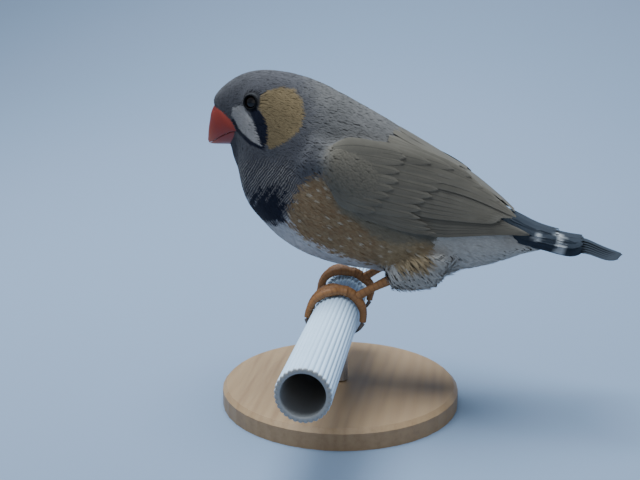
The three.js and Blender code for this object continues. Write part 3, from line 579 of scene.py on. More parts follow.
def wavering(points, size, seed):
    """A smooth pseudo-random field from -1 to 1 over points in millimetres."""
    total = np.zeros(len(points))
    draw = np.random.default_rng(seed)
    for octave in range(4):
        turn = unit(draw.normal(size=3))
        other = unit(draw.normal(size=3))
        pitch = 2 * math.pi / (size * (0.6 + 0.35 * octave))
        total += np.sin(points @ turn * pitch + draw.uniform(0, 6)) * np.sin(points @ other * pitch * 1.3)
    return total / 2


def above_line(points, start, end):
    """How far each point lies, seen from the side, over the line from start back to end."""
    (y0, z0), (y1, z1) = start, end
    length = math.hypot(y1 - y0, z1 - z0)
    return ((y1 - y0) * (points[:, 2] - z0) - (z1 - z0) * (points[:, 1] - y0)) / length


def within(points, outline, soft, wander):
    """1 inside an outline seen from the side and 0 outside it."""
    sides = zip(outline, outline[1:] + outline[:1])
    inside = np.min([above_line(points, start, end) for start, end in sides], axis=0)
    return ramp(inside + wander, -soft, soft)


def plain(colour, points):
    return np.tile(colour, (len(points), 1)).astype(float)


def laid(colour, over, mask):
    mask = np.clip(mask, 0, 1)[:, None]
    return colour * (1 - mask) + np.array(over) * mask


def flank_spots(points):
    """Round white spots in loose rows over the flank."""
    place = points[:, 1:] @ SPOT_TURN / SPOT_PITCH
    place[:, 0] += 0.5 * (np.floor(place[:, 1]) % 2)
    cell = np.floor(place)
    scatter = np.sin(cell @ (78.23, 12.99)) * 43758.5
    chance = np.stack([scatter, scatter * 7.31], axis=1) % 1
    away = (place - cell - 0.5 - 0.45 * (chance - 0.5)) * SPOT_PITCH * (0.8, 1.2)
    size = SPOT_RADIUS * (0.75 + 0.5 * chance[:, 1])
    return (1 - ramp(np.hypot(*away.T) - size, -0.15, 0.22)) * (chance[:, 0] > 0.3)


def breast_mask(points, ragged):
    """1 over the throat and the breast, where the fine bars are."""
    throat = ramp(-above_line(points, *THROAT_TOP) + 0.7 * ragged, -2.6, 3.0)
    throat *= ramp(above_line(points, *BREAST_FOOT) + ragged, -0.8, 0.8)
    return throat * (1 - ramp(points[:, 1] + 0.25 * (points[:, 2] - 30) + 0.9 * ragged, -11.5, -6.5))


def shaggy(points):
    """A field from -1 to 1 that runs in strands up and back over the breast."""
    across, along = points[:, 1:] @ BAR_ACROSS, points[:, 1:] @ BAR_ACROSS[::-1]
    wander = 1.2 * np.sin(along * 0.55 + 2.0)
    return np.sin(across * 3.4 + wander) * 0.65 + np.sin(across * 7.1 - 1.7 * wander + 2.0) * 0.35


def band_mask(points, ragged):
    """1 on the black band across the breast, over whose upper edge pale strands hang."""
    strands = shaggy(points) * ramp(points[:, 2], 23.5, 28.5)
    return within(points, BAND_OUTLINE, 0.9, 0.8 * ragged + 2.3 * strands)


def flank_mask(points, ragged):
    """1 over the chestnut flank and the grey feathers between it and the wing."""
    side = ramp(np.abs(points[:, 0]) + 0.6 * ragged, 2.6, 4.6)
    return within(points, FLANK_OUTLINE, 0.7, 1.1 * ragged) * side


def body_colours(points, colour, ragged):
    """The breast, its black band, the white belly and the chestnut flank."""
    y, z = points[:, 1], points[:, 2]
    belly = np.max([ramp(-above_line(points, *BELLY_TOP) + ragged, -0.9, 0.9),
                    ramp(-above_line(points, *BELLY_REAR) + ragged, -1.0, 1.0),
                    ramp(y - 22.0 + ragged, -2.0, 2.0) * ramp(26.5 - z, -1.5, 1.5)], axis=0)
    flank = flank_mask(points, ragged)
    under_wing = ramp(z - np.interp(y, *UNDER_WING) + 0.6 * ragged, -1.2, 1.0) * ramp(y, -1.5, 1.5)
    chestnut = laid(plain(CHESTNUT, points), CHESTNUT_PALE, 0.5 + 0.5 * wavering(points, 1.6, 31))
    # Paler towards the rear: partly the thigh's paler feathers, partly painted light that lifts the shade
    # under the wing
    chestnut = laid(chestnut, FLANK_PALE_AND_PAINTED_LIGHT, 0.75 * ramp(y, 7.0, 16.0))
    vent = ramp(y + 0.8 * ragged, 9.0, 15.0) * ramp(28.0 - z, -2.0, 2.0)
    spots = flank * flank_spots(points) * (1 - under_wing) * 0.7
    for over, mask in ((THROAT, breast_mask(points, ragged)), (BELLY, belly),
                       (BLACK, band_mask(points, ragged)), (chestnut, flank), (SPOT_WHITE, spots),
                       (FLANK_GREY, flank * under_wing), (VENT, vent * (1 - flank))):
        colour = laid(colour, over, mask)
    return colour


def rump_colours(points, colour, ragged):
    """The white rump under the wing tips and the black feathers beside and behind it."""
    x, y = np.abs(points[:, 0]), points[:, 1]
    rear = ramp(above_line(points, *RUMP_TOP) + 0.5 * ragged, -0.6, 0.8)
    low = ramp(23.0 - points[:, 2], -1.0, 1.0)
    colour = laid(colour, WHITE, rear * low * ramp(y + ragged, 36.0, 37.5))
    black = np.maximum(ramp(y + ragged, 38.0, 39.5), ramp(y, 36.0, 37.5) * ramp(x, 2.6, 3.6))
    return laid(colour, BLACK, rear * black)


# The orange cheek, the white before it with its black edge and the black tear stripe: colour,
# outline, softness and how ragged the edge is, one over the other
FACE_MARKS = ((CHEEK, CHEEK_OUTLINE, 0.35, 0.25), (BLACK, LORE_EDGE_OUTLINE, 0.16, 0.08),
              (LORE_WHITE, LORE_OUTLINE, 0.2, 0.08), (BLACK, TEAR_OUTLINE, 0.2, 0.12))


def plumage(points):
    """The colour of the feathers at places on the body, in millimetres."""
    ragged = wavering(points, 2.2, 9)
    back = ramp(-above_line(points, *BACK_FRONT) + 1.2 * ragged, -4.0, 4.0)
    colour = laid(plain(GREY_HEAD, points), GREY_BROWN, back)
    colour = body_colours(points, colour, ragged)
    colour = rump_colours(points, colour, ragged)
    for over, outline, soft, wander in FACE_MARKS:
        colour = laid(colour, over, within(points, outline, soft, wander * ragged))
    return colour * (1 + 0.07 * wavering(points, 9.0, 5)[:, None])


# The lie and the size of the coat over the body

def from_bill(points):
    return np.linalg.norm(points - BILL_MIDDLE, axis=1)


def from_eyes(points):
    return np.min([np.linalg.norm(points - node_middle(f"eye_{name}"), axis=1) for name in SIDES], axis=0)


def fluff_share(points):
    """1 on the loose feathers round the thighs and behind the legs, 0 on the sleek ones."""
    y, z = points[:, 1], points[:, 2]
    thigh = 1 - ramp(np.hypot(y - 17.5, z - 12.0), 4.0, 8.5)
    return np.clip(thigh + ramp(y, 16, 26) * (1 - ramp(z, 14, 20)) * (1 - ramp(y, 34, 42)) * 0.4, 0, 1)


def lie_of_coat(points, normals):
    """The direction in which the feathers lie at places on the body."""
    breast = ramp(-10.0 - points[:, 1], -3.0, 5.0) * ramp(38.0 - points[:, 2], -3.0, 5.0)
    flow = plain((0.0, 0.93, -0.38), points)
    for toward, share in (((0.0, 0.75, -0.66), fluff_share(points)), ((0.0, 0.62, -0.78), breast)):
        flow = mixed(flow, np.array(toward), share[:, None])
    near = (1 - ramp(from_bill(points), 8.0, 18.0))[:, None]
    flow = unit(flow * (1 - near) + unit(points - BILL_MIDDLE) * near * 1.4)
    for name in SIDES:
        away = points - node_middle(f"eye_{name}")
        near = 1 - ramp(np.linalg.norm(away, axis=1), 2.4, 4.6)
        flow = unit(flow + unit(away) * (1.3 * near)[:, None])
    return unit(flow - normals * (flow * normals).sum(1, keepdims=True))


def coat_depth(points):
    """The coat's depth over the skin: thin on the face, deepest on the body."""
    return mixed(*COAT_DEPTH, ramp(from_bill(points), 9.0, 28.0))


def coat_density(points):
    """Tufts to the square millimetre."""
    return mixed(*TUFT_DENSITY, ramp(from_bill(points), 9.0, 30.0)) * (1 + 0.6 * fluff_share(points))


def coat_sizes(points, wing):
    """Length, width, thickness and rise of the tufts at places on the body."""
    body, fluff = ramp(from_bill(points), 8.0, 30.0), fluff_share(points)
    length = mixed(mixed(mixed(*TUFT_LENGTH, body), LOOSE_LENGTH, fluff), COVER_SIZE[0], wing)
    width = mixed(mixed(*TUFT_WIDTH, body), COVER_SIZE[1], wing)
    thick = mixed(TUFT_THICK[0], mixed(TUFT_THICK[1], LOOSE_THICK, fluff), body)
    return length, width, thick, coat_depth(points) * (1 + 0.9 * fluff)


def swelling(points):
    """How far the parts swell before they are joined, which fills the creases between them."""
    return mixed(*SKIN_SWELL, ramp(points[:, 1], -14.0, -4.0)) + THIGH_SWELL * fluff_share(points)


# Wing and tail surfaces, as in the solids
WING_LOWER = Curve([(11.6, -3.6, 35.0), (13.0, 2.5, 27.6), (13.4, 10.5, 24.2), (12.2, 20.5, 20.9),
                    (9.8, 30.5, 20.3), (7.2, 38.8, 20.4), (4.9, 45.0, 20.7)])
WING_UPPER = Curve([(10.9, -3.4, 40.6), (10.7, 3.0, 42.6), (9.5, 11.0, 41.8), (7.0, 20.3, 39.3),
                    (4.4, 30.0, 34.6), (3.9, 37.6, 28.7), (4.3, 45.0, 21.2)])
WING_BULGE = (6.0, 1.8)
TAIL_CENTRE = Curve([(0, 38.5, 23.6), (0, 43.0, 20.9), (0, 49.0, 19.1), (0, 55.0, 17.5),
                     (0, 58.5, 17.4), (0, 63.0, 16.1), (0, 67.0, 15.4)])
# Half width, half height and the drop from the uppermost to the lowest of the long feathers
TAIL_SIZE = Curve([(4.2, 3.4, 3.0), (4.7, 3.8, 3.2), (4.6, 2.8, 3.0), (4.3, 2.8, 2.6), (4.0, 2.2, 2.1),
                   (3.4, 1.5, 1.7), (2.2, 0.6, 0.5)])

# The back between the folded wings: its height, its half width and its drop to each side
BACK_REACH = (12.0, 45.0)
BACK_ROOF = Curve([(46.5, 9.4, 4.9), (42.3, 7.9, 2.6), (37.9, 6.1, 1.0), (33.6, 5.2, 0.5), (28.1, 4.9, 0.3),
                   (21.6, 4.8, 0.3)])
ROOF_SHARES = (0.26, 0.8)  # of the back's reach, where the skin closes over the hollow
ROOF_DEPTH = (0, 1.5, 4.5)
SHOULDER_FILLER = ([(8.4, -6.2, 31.0), (8.6, -5.4, 36.8), (8.8, -3.4, 42.2)], (2.0, 3.8, 2.6))
SHOULDER_DEPTH = 4.0


class Surface:
    """A surface whose place() takes shares along and across it. Its outside faces side."""

    def outward(self, along, across):
        step = 0.01
        share = np.clip(along, step, 1 - step)
        ahead = self.place(share + step, across) - self.place(share - step, across)
        beside = self.place(share, across + step) - self.place(share, across - step)
        out = unit(np.cross(beside, ahead))
        return out * np.sign(out @ self.side)[:, None]


class WingSurface(Surface):
    side = np.array([1.0, 0, 0])

    def place(self, along, up):
        share = np.clip(along, 0, 1)
        place = mixed(WING_LOWER.at(share), WING_UPPER.at(share), up[:, None])
        place[:, 0] += mixed(*WING_BULGE, share) * up * (1 - up)
        return place


class BackSurface(Surface):
    """The back from one wing's upper edge to the other's, from the mantle to the tail."""
    side = np.array([0, 0, 1.0])

    def place(self, along, across):
        share = np.clip(along, 0, 1)
        row = BACK_ROOF.at(share)
        back = np.broadcast_to(mixed(*BACK_REACH, share), share.shape)
        return np.stack([across * row[:, 1], back, row[:, 0] - row[:, 2] * across ** 2], axis=1)


class TailSurface:
    def place(self, along, turn):
        share = np.clip(along, 0, 1)
        place, size = TAIL_CENTRE.at(share), TAIL_SIZE.at(share)
        place[:, 0] += np.sin(turn * math.pi) * size[:, 0]
        place[:, 2] += np.cos(turn * math.pi) * size[:, 1]
        return place

    def outward(self, along, turn):
        size = TAIL_SIZE.at(np.clip(along, 0, 1))
        angle = turn * math.pi
        return unit(np.stack([np.sin(angle) / size[:, 0], 0 * angle, np.cos(angle) / size[:, 1]], axis=1))


class TailFeatherSurface:
    """The level on which one pair of the tail's long feathers lies."""

    def __init__(self, order):
        self.order = order

    def place(self, along, across):
        share = np.clip(along, 0, 1)
        centre, size = TAIL_CENTRE.at(share), TAIL_SIZE.at(share)
        drop = self.order / (TAIL_PAIRS - 1) * size[:, 2]
        return np.stack([across, centre[:, 1], centre[:, 2] + size[:, 1] - 0.3 - drop], axis=1)

    def outward(self, along, across):
        return plain(unit(np.array([0, 0.12, 1.0])), along)


# The skin

def grid(rows, columns):
    along, across = np.meshgrid(rows, columns, indexing="ij")
    return along.ravel(), across.ravel()


def back_slab():
    """A closed form over the hollow between the wings, so that the skin runs on across it."""
    rows, columns = 17, 13
    outer = BackSurface().place(*grid(np.linspace(*ROOF_SHARES, rows), np.linspace(-0.9, 0.9, columns)))
    return np.concatenate([outer, outer - ROOF_DEPTH]), slab_faces(rows, columns)


def shoulder_slab(side):
    """A closed form over the front of the wing, so that the skin runs on into it."""
    rows, columns = 19, 15
    along, up = grid(np.linspace(0, SHOULDER_REACH, rows), np.linspace(0.06, 0.97, columns))
    surface = WingSurface()
    out = surface.outward(along, up)
    edges = np.sqrt(np.clip(4 * up * (1 - up), 0, 1)) * ramp(along, -0.06, 0.1)
    high = mixed(*SHOULDER_RISE, ramp(along, 0.28, 0.48)) * edges - 0.2
    outer = (surface.place(along, up) + out * high[:, None]) * (side, 1, 1)
    return np.concatenate([outer, outer - out * (side, 1, 1) * SHOULDER_DEPTH]), slab_faces(rows, columns)


def shoulder_filler(side):
    """A closed form before the wing's front edge, so that the breast's skin runs on into it."""
    points, faces = limb(*SHOULDER_FILLER, 12, 16)
    return points * (side, 1, 1), faces


def mesh_arrays(mesh):
    """A mesh's points and vertex normals as arrays, in millimetres from the perch's axis."""
    arrays = []
    for key in ("co", "normal"):
        values = np.empty(len(mesh.vertices) * 3, np.float32)
        mesh.vertices.foreach_get(key, values)
        arrays.append(values.reshape(-1, 3).astype(float))
    return from_row(arrays[0]), arrays[1]


def moved_out(mesh, distance):
    """Moves a mesh's points along their normals, by a distance for each place."""
    points, normals = mesh_arrays(mesh)
    fill(mesh.vertices, "co", placed(points + normals * distance(points)[:, None]))
    return mesh


def welded(form):
    bmesh.ops.remove_doubles(form, verts=form.verts, dist=0.01 * MM)


def relaxed(form):
    """Evens out the small folds that a move inwards leaves on sharp edges."""
    for _ in range(SKIN_RELAXING):
        bmesh.ops.smooth_vert(form, verts=form.verts, factor=0.5, use_axis_x=True, use_axis_y=True,
                              use_axis_z=True)


def body_parts():
    """The solids of the feathered body and the shoulders, swollen, as one mesh of loose forms."""
    forms = [reworked(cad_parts[name].data.copy(), welded) for name in FLESH_NODES]
    slabs = [shoulder_slab(1), shoulder_slab(-1), shoulder_filler(1), shoulder_filler(-1), back_slab()]
    for points, faces in slabs:
        forms.append(reworked(built("shoulder", points, *flat(faces)), face_outwards))
    body = bmesh.new()
    for form in forms:
        body.from_mesh(moved_out(form, swelling))
        bpy.data.meshes.remove(form)
    mesh = bpy.data.meshes.new("skin")
    body.to_mesh(mesh)
    body.free()
    return mesh


def body_skin():
    """One smooth skin through the feathered parts, inside them by the coat's depth."""
    maker = in_scene("skin_maker", body_parts())
    remesh = maker.modifiers.new("Join", "REMESH")
    remesh.mode = "VOXEL"
    remesh.voxel_size = SKIN_VOXEL * MM
    maker.modifiers.new("Smooth", "SMOOTH").iterations = SKIN_SMOOTHING
    skin = bpy.data.meshes.new_from_object(maker.evaluated_get(bpy.context.evaluated_depsgraph_get()))
    bpy.data.objects.remove(maker)
    return reworked(moved_out(skin, lambda points: -swelling(points) - coat_depth(points)), relaxed)


def tree_over(points, faces):
    return BVHTree.FromPolygons([tuple(point) for point in points], faces.tolist())


class BodySurface:
    """The skin as a surface that places can be laid onto."""

    def __init__(self, mesh):
        self.points, self.normals = mesh_arrays(mesh)
        self.faces = np.array([tuple(polygon.vertices) for polygon in mesh.polygons])
        self.tree = tree_over(self.points, self.faces)

    def laid(self, places):
        """The nearest places on the skin, and the directions out of it there."""
        found = [self.tree.find_nearest(Vector(place)) for place in places]
        faces = self.faces[[hit[2] for hit in found]]
        return np.array([hit[0] for hit in found]), unit(self.normals[faces].mean(1))

    def seeds(self, draw):
        """Places strewn over the skin as densely as the coat asks, with the directions out."""
        corners = self.points[self.faces]
        spans = np.cross(corners[:, 2] - corners[:, 0], corners[:, 3] - corners[:, 1])
        wanted = np.linalg.norm(spans, axis=1) / 2 * coat_density(corners.mean(1))
        counts = (wanted + draw.random(len(wanted))).astype(int)
        owner = np.repeat(np.arange(len(self.faces)), counts)
        first, second = draw.random(len(owner))[:, None], draw.random(len(owner))[:, None]
        here = corners[owner]
        places = mixed(mixed(here[:, 0], here[:, 1], first), mixed(here[:, 3], here[:, 2], first), second)
        return places, unit(self.normals[self.faces[owner]].mean(1))


# The coat

# A tuft is a tapered closed form of three corners, with these shares of its length, width and
# height over the skin at its stations
TUFT_STATIONS = ((0.0, 0.6, -0.2), (0.38, 1.0, 0.55), (0.76, 0.76, 0.88))
TUFT_TIP_RISE = 0.84
TUFT_ROUND = 0.2  # how far the shading turns towards a tuft's sides
TUFT_POINTS = 10
TUFT_FACES = [(0, 1, 4, 3), (1, 2, 5, 4), (2, 0, 3, 5), (3, 4, 7, 6), (4, 5, 8, 7), (5, 3, 6, 8),
              (6, 7, 9), (7, 8, 9), (8, 6, 9), (0, 2, 1)]
TUFT_PATCH = np.array([(x, y) for y in (0, 0.4, 0.75) for x in (-0.5, 0, 0.5)] + [(0, 1.0)]) * 0.003


def tufts(surface, middles, lie, length, width, thick, rise, loose):
    """Tufts that lie along the coat, as arrays of points and of soft shading directions. The tips of
    loose ones stand off it."""
    stations, outs = [], []
    for share, wide, high in TUFT_STATIONS + ((1.0, 0.0, TUFT_TIP_RISE),):
        base, out = surface.laid(middles + lie * (length * share)[:, None])
        place = base + out * (rise * high + loose * share ** 2)[:, None]
        across = unit(np.cross(lie, out))
        half = (width * wide / 2)[:, None]
        if share < 1.0:
            stations += [place - across * half, place + out * thick[:, None], place + across * half]
            outs += [unit(out - across * TUFT_ROUND), out, unit(out + across * TUFT_ROUND)]
        else:
            stations.append(place + out * (thick * 0.3)[:, None])
            outs.append(out)
    return np.stack(stations, axis=1), np.stack(outs, axis=1)


def skin_unwrap(points):
    """The skin's own unwrap: its length down the body by the turn round it."""
    middle = np.interp(points[:, 1], (-33, -10, 20, 60), (46, 40, 26, 18))
    turn = np.arctan2(points[:, 0], points[:, 2] - middle) / (2 * math.pi) + 0.5
    return np.stack([(points[:, 1] + 36) / 100, turn], axis=1)


def tuft_mesh(name, points):
    corners, sizes = flat(TUFT_FACES)
    corners = corners[None, :] + TUFT_POINTS * np.arange(len(points))[:, None]
    return built(name, points.reshape(-1, 3), corners.ravel(), np.tile(sizes, len(points)))


def bar_strength(points, draw):
    """How strongly the breast's bars show: not on the band or the flank, and unevenly."""
    ragged = wavering(points, 2.2, 9)
    bars = breast_mask(points, ragged) * (1 - band_mask(points, ragged)) * (1 - flank_mask(points, ragged))
    return bars * (0.75 + 0.5 * shaggy(points) * (0.5 + 0.5 * draw.random(len(points))))


def coat_piece(name, surface, seeds, wing_trees, cloth, draw):
    """A piece of the coat: a tuft for each seed, a little different from its neighbours."""
    def vary(spread):
        return 1 + spread * (draw.random(len(middles)) - 0.5)

    middles, normals = seeds
    near = [min(tree.find_nearest(Vector(place))[3] for tree in wing_trees) for place in middles]
    wing = 1 - ramp(np.array(near), 0.9, 1.8)
    length, width, thick, rise = coat_sizes(middles, wing)
    lie, fluff = lie_of_coat(middles, normals), fluff_share(middles)
    turn = mixed(0.15, 0.65, fluff) * (draw.random(len(middles)) - 0.5)
    lie = unit(lie + np.cross(normals, lie) * turn[:, None])
    length, width, rise = length * vary(0.4), width * vary(0.3), rise * vary(0.06)
    loose = LOOSE_RISE * fluff * draw.random(len(middles)) ** 3
    points, outs = tufts(surface, middles, lie, length, width, thick, rise, loose)
    seen = middles + lie * (length * 0.6)[:, None]
    colours = laid(plumage(seen), WING_GREY, wing * ramp(seen[:, 1], -4.5, 0.0)) * vary(0.16)[:, None]
    mesh = tuft_mesh(name, points)
    add_colours(mesh, np.repeat(colours, TUFT_POINTS, axis=0))
    add_values(mesh, "Bars", np.repeat(bar_strength(seen, draw), TUFT_POINTS))
    add_map(mesh, "OFBake", (skin_unwrap(middles)[:, None] + TUFT_PATCH[None]).reshape(-1, 2))
    finished(name, mesh, cloth)
    shade_softly(mesh, outs)


# Where the coat is parted into pieces, from the bill back
COAT_PIECES = {"coat_bill": -25.5, "coat_face": -21.0, "coat_crown": -12.5, "coat_neck": -4.0,
               "coat_middle": 8.0, "coat_flanks": 20.0, "coat_thighs": 28.0, "coat_rear": 90.0}


def dress_body(cloth):
    skin = body_skin()
    surface = BodySurface(skin)
    # The skin is painted a little darker than the coat, and much darker round the eyes: painted shade, as the
    # smooth bare skin lacks the shadow of the tufts
    shade = mixed(0.3, 0.85, ramp(from_eyes(surface.points), EYE_CLEAR - 0.2, EYE_CLEAR + 0.6))
    add_colours(skin, plumage(surface.points) * shade[:, None])
    finished("body_skin", skin, cloth, FLESH_NODES)
    draw = np.random.default_rng(7)
    places, normals = surface.seeds(draw)
    clear = from_eyes(places) > EYE_CLEAR
    places, normals = places[clear], normals[clear]
    wing_trees = [tree_over(*shoulder_slab(side)) for side in SIDES.values()]
    along = places[:, 1] - 0.35 * (places[:, 2] - 35)
    start = -1e9
    for name, end in COAT_PIECES.items():
        here = (along >= start) & (along < end)
        coat_piece(name, surface, (places[here], normals[here]), wing_trees, cloth, draw)
        start = end


# Wing and tail feathers

VANE_ROWS = 14
VANE_COLUMNS = 6
# Each row of feathers: how many there are, where the roots and the tips of its first and its last
# one lie, how far the tips bow out, the rise at root and tip, the first and the last one's width,
# the tilt in degrees, the shaft's place across, how pale the edges are and how much the rise grows
WING_ROWS = {
    "primaries": (7, ((0.44, 0.06), (0.44, 0.36)), ((0.99, 0.24), (0.83, 0.44)),
                  0.035, (0.1, 0.35), (2.9, 3.1), 14, -0.35, 0.9, 0),
    "secondaries": (7, ((0.38, 0.34), (0.36, 0.72)), ((0.8, 0.36), (0.885, 0.68)),
                    0, (0.3, 0.85), (3.6, 3.9), 11, -0.2, 0.7, 0),
    "tertials": (3, ((0.34, 0.72), (0.3, 0.88)), ((0.9, 0.8), (0.74, 0.9)),
                 0, (0.5, 1.1), (5.0, 5.0), 8, -0.1, 0.6, 0),
    "primary coverts": (4, ((0.2, 0.05), (0.2, 0.22)), ((0.54, 0.07), (0.49, 0.22)),
                        0, (0.6, 1.0), (2.4, 2.6), 9, -0.2, 0.5, 0),
    "greater coverts": (8, ((0.2, 0.2), (0.16, 0.9)), ((0.45, 0.24), (0.57, 0.9)),
                        0.02, (0.6, 1.0), (3.9, 4.4), 6, -0.1, 0.5, 0),
    "median coverts": (8, ((0.1, 0.12), (0.08, 0.92)), ((0.31, 0.14), (0.41, 0.92)),
                       0.02, (0.4, 1.15), (3.8, 4.2), 5, 0, 0.3, 0),
    "scapulars": (4, ((0.08, 0.86), (0.28, 0.94)), ((0.42, 0.88), (0.68, 0.95)),
                  0, (0.1, 1.25), (4.6, 4.2), 3, 0, 0.4, 0),
}
# The inner wing feathers that lie over the back, from the outer to the inner one
BACK_ROWS = {
    "long": (3, ((0.1, 0.8), (0.2, 0.25)), ((0.72, 0.85), (0.88, 0.3)),
             0, (-0.3, 0.25), (4.6, 4.8), 3, 0, 0.5, 0.25),
    "short": (3, ((0.0, 0.8), (0.06, 0.2)), ((0.44, 0.85), (0.54, 0.25)),
              0, (-0.4, 0.5), (4.6, 4.6), 3, 0, 0.4, 0.2),
}
TAIL_PAIRS = 6
TAIL_ROWS = {
    "long coverts": (5, ((0.16, 0.62), (0.16, 0.08)), ((0.6, 0.6), (0.64, 0.08)),
                     0, (-0.5, 0.0), (4.0, 4.0), 5, 0, 1.0, 0),
    "short coverts": (5, ((0.0, 0.56), (0.0, 0.08)), ((0.4, 0.56), (0.42, 0.08)),
                      0, (-0.3, 0.25), (3.8, 3.8), 5, 0, 0.9, 0),
}


def vane(surface, root, tip, rise, width, tilt, shaft=0.0, camber=0.05, blunt=2.6):
    """A feather's vane as a closed form: its points, places and soft shading directions. The places
    run from -1 to 1 across, with 0 at the shaft, and along it in millimetres."""
    share = np.linspace(0, 1, VANE_ROWS + 1) ** 0.85
    along, up = mixed(root[0], tip[0], share), mixed(root[1], tip[1], share)
    normal = surface.outward(along, up)
    centre = surface.place(along, up) + normal * mixed(*rise, share)[:, None]
    ahead = unit(np.gradient(centre, axis=0))
    across = unit(np.cross(normal, ahead))
    tilt = math.radians(tilt)
    side = across * math.cos(tilt) - normal * math.sin(tilt)
    face = normal * math.cos(tilt) + across * math.sin(tilt)
    wide = width / 2 * np.minimum(1, 0.45 + 2.2 * share) * (1 - share ** blunt * 0.985) ** 0.55
    offsets = np.linspace(-1, 1, VANE_COLUMNS + 1)
    middle = centre[:, None] + side[:, None] * (offsets[None, :, None] * wide[:, None, None])
    arch = camber * width * (1 - offsets ** 2) - camber * width * 0.4
    fade = VANE_THICK * (1 - 0.75 * np.abs(offsets)) * 0.5
    faces_out = [middle + face[:, None] * (arch + away)[None, :, None] for away in (fade, -fade)]
    points = np.concatenate(faces_out).reshape(-1, 3)
    length = np.concatenate([[0], np.cumsum(np.linalg.norm(np.diff(centre, axis=0), axis=1))])
    places = np.stack(np.broadcast_arrays(offsets[None, :] - shaft, length[:, None]), axis=2).reshape(-1, 2)
    soft = unit(normal[:, None] * 0.8 + face[:, None] * 0.4 + side[:, None] * 0.25 * offsets[None, :, None])
    soft = soft.reshape(-1, 3)
    return points, np.concatenate([places, places]), np.concatenate([soft, -soft])


def on_side(side, points, places, shading, colours):
    """A vane of the left side, or its mirror image on the right, as feathers() takes it."""
    faces = slab_faces(VANE_ROWS + 1, VANE_COLUMNS + 1)[:, [0, 3, 2, 1]]
    mirror = (side, 1, 1)
    return points * mirror, faces if side > 0 else faces[:, ::-1], colours, places, shading * mirror


def feather_rows(surface, rows, draw, side, colour_of):
    made = []
    for count, roots, tips, arch, rises, widths, tilt, shaft, pale, step in rows.values():
        for share in np.arange(count) / (count - 1):
            root, tip = mixed(*np.array(roots), share), mixed(*np.array(tips), share)
            tip = tip + (arch * 4 * share * (1 - share), 0) + (draw.random(2) - 0.5) * 0.018
            width = mixed(*widths, share) * (1 + 0.1 * (draw.random() - 0.5))
            rise = [high + step * share for high in rises]
            points, places, shading = vane(surface, root, tip, rise, width, tilt, shaft)
            colours = colour_of(points, places, pale) * (1 + 0.12 * (draw.random() - 0.5))
            made.append(on_side(side, points, places, shading, colours))
    return made


def wing_colour(points, places, pale):
    """Grey-brown vanes whose edges and tips are paler."""
    edge = np.maximum(ramp(np.abs(places[:, 0]), 0.6, 1.1), ramp(places[:, 1] / places[:, 1].max(), 0.9, 1.0))
    return laid(plain(WING_GREY, points), WING_EDGE, edge * pale * 0.7)


def tail_colour(points, places, pale):
    """Black coverts with a tall white bar on the side and a smaller white spot before it."""
    x, y, z = np.abs(points[:, 0]), points[:, 1], points[:, 2]
    wander = 0.25 * np.sin(z * 3.1)
    bar = ramp(y + wander, 51.1, 51.5) * (1 - ramp(y + wander, 52.7, 53.2)) * ramp(x, 1.9, 2.6)
    spot = 1 - ramp(np.hypot(y - 46.9, (z - 20.3) / 1.1) + wander, 0.7, 1.1)
    colour = laid(plain(TAIL_BLACK, points), WHITE, bar * ramp(z, 15.2, 16.2) * pale)
    return laid(colour, WHITE, spot * pale * ramp(x, 2.2, 3.0) * 0.8)


def bake_patches(places):
    """Places on the map for baking, on which each vane has a square of its own."""
    across = math.ceil(math.sqrt(len(places)))
    patches = []
    for i, place in enumerate(places):
        low, high = place.min(0), place.max(0)
        inside = (place - low) / (high - low) * 0.9 + 0.05
        patches.append((inside + (i % across, i // across)) / across)
    return np.vstack(patches)


def feathers(name, vanes, cloth, node):
    """A piece of vanes, given as their points, faces, colours, places and shading."""
    mesh = joined(name, vanes)
    places, shading = zip(*(vane[3:] for vane in vanes))
    add_map(mesh, "FeatherPlace", np.vstack(places))
    add_map(mesh, "OFBake", bake_patches(places))
    finished(name, mesh, cloth, [node])
    shade_softly(mesh, np.vstack(shading))


def dress_wing(side_name, cloth):
    side = SIDES[side_name]
    draw = np.random.default_rng(20 + side)
    made = feather_rows(WingSurface(), WING_ROWS, draw, side, wing_colour)
    made += feather_rows(BackSurface(), BACK_ROWS, draw, side, wing_colour)
    feathers(f"wing_feathers_{side_name}", made, cloth, f"wing_{side_name}")


def dress_tail(cloth):
    draw = np.random.default_rng(37)
    made = []
    for side in SIDES.values():
        for order in range(TAIL_PAIRS):
            root, tip = (0.3, 0.5 + 0.32 * order), (1 - 0.012 * order, 0.7 + 0.55 * order)
            surface, tilt = TailFeatherSurface(order), -6 - 4 * order
            long_one = vane(surface, root, tip, (-0.6, 0), 2.6, tilt, camber=0.04, blunt=6.0)
            made.append(on_side(side, *long_one, plain(TAIL_BLACK, long_one[0])))
        made += feather_rows(TailSurface(), TAIL_ROWS, draw, side, tail_colour)
    feathers("tail_feathers", made, cloth, "tail")


# Bill

BILL_RIDGE = Curve([(0, -26.4, 51.0), (0, -30.5, 50.6), (0, -31.9, 48.8), (0, -32.6, 46.0),
                    (0, -33.0, 43.6), (0, -33.2, 41.5)])
BILL_UNDER = Curve([(0, -19.8, 42.8), (0, -22.4, 40.9), (0, -26.4, 40.4), (0, -29.0, 40.4),
                    (0, -31.0, 40.4), (0, -32.6, 40.5)])
# Half width, and the mouth's height as a share of the bill's depth
BILL_SIZE = Curve([(4.5, 0.24, 0), (4.5, 0.3, 0), (3.6, 0.31, 0), (2.6, 0.29, 0), (1.55, 0.26, 0),
                   (0.5, 0.2, 0)])
BILL_STEPS, BILL_SIDES = 56, 49
MOUTH_GAP = 0.05
UPPER_POWER, LOWER_POWER = 1.75, 2.0
NOSTRIL_PLACE, NOSTRIL_RADIUS, NOSTRIL_DEPTH = (1.7, -31.3, 48.9), 0.42, 0.4
# painted shade in the nostril's pit
NOSTRIL_SHADE = (0.03, 0.008, 0.008)


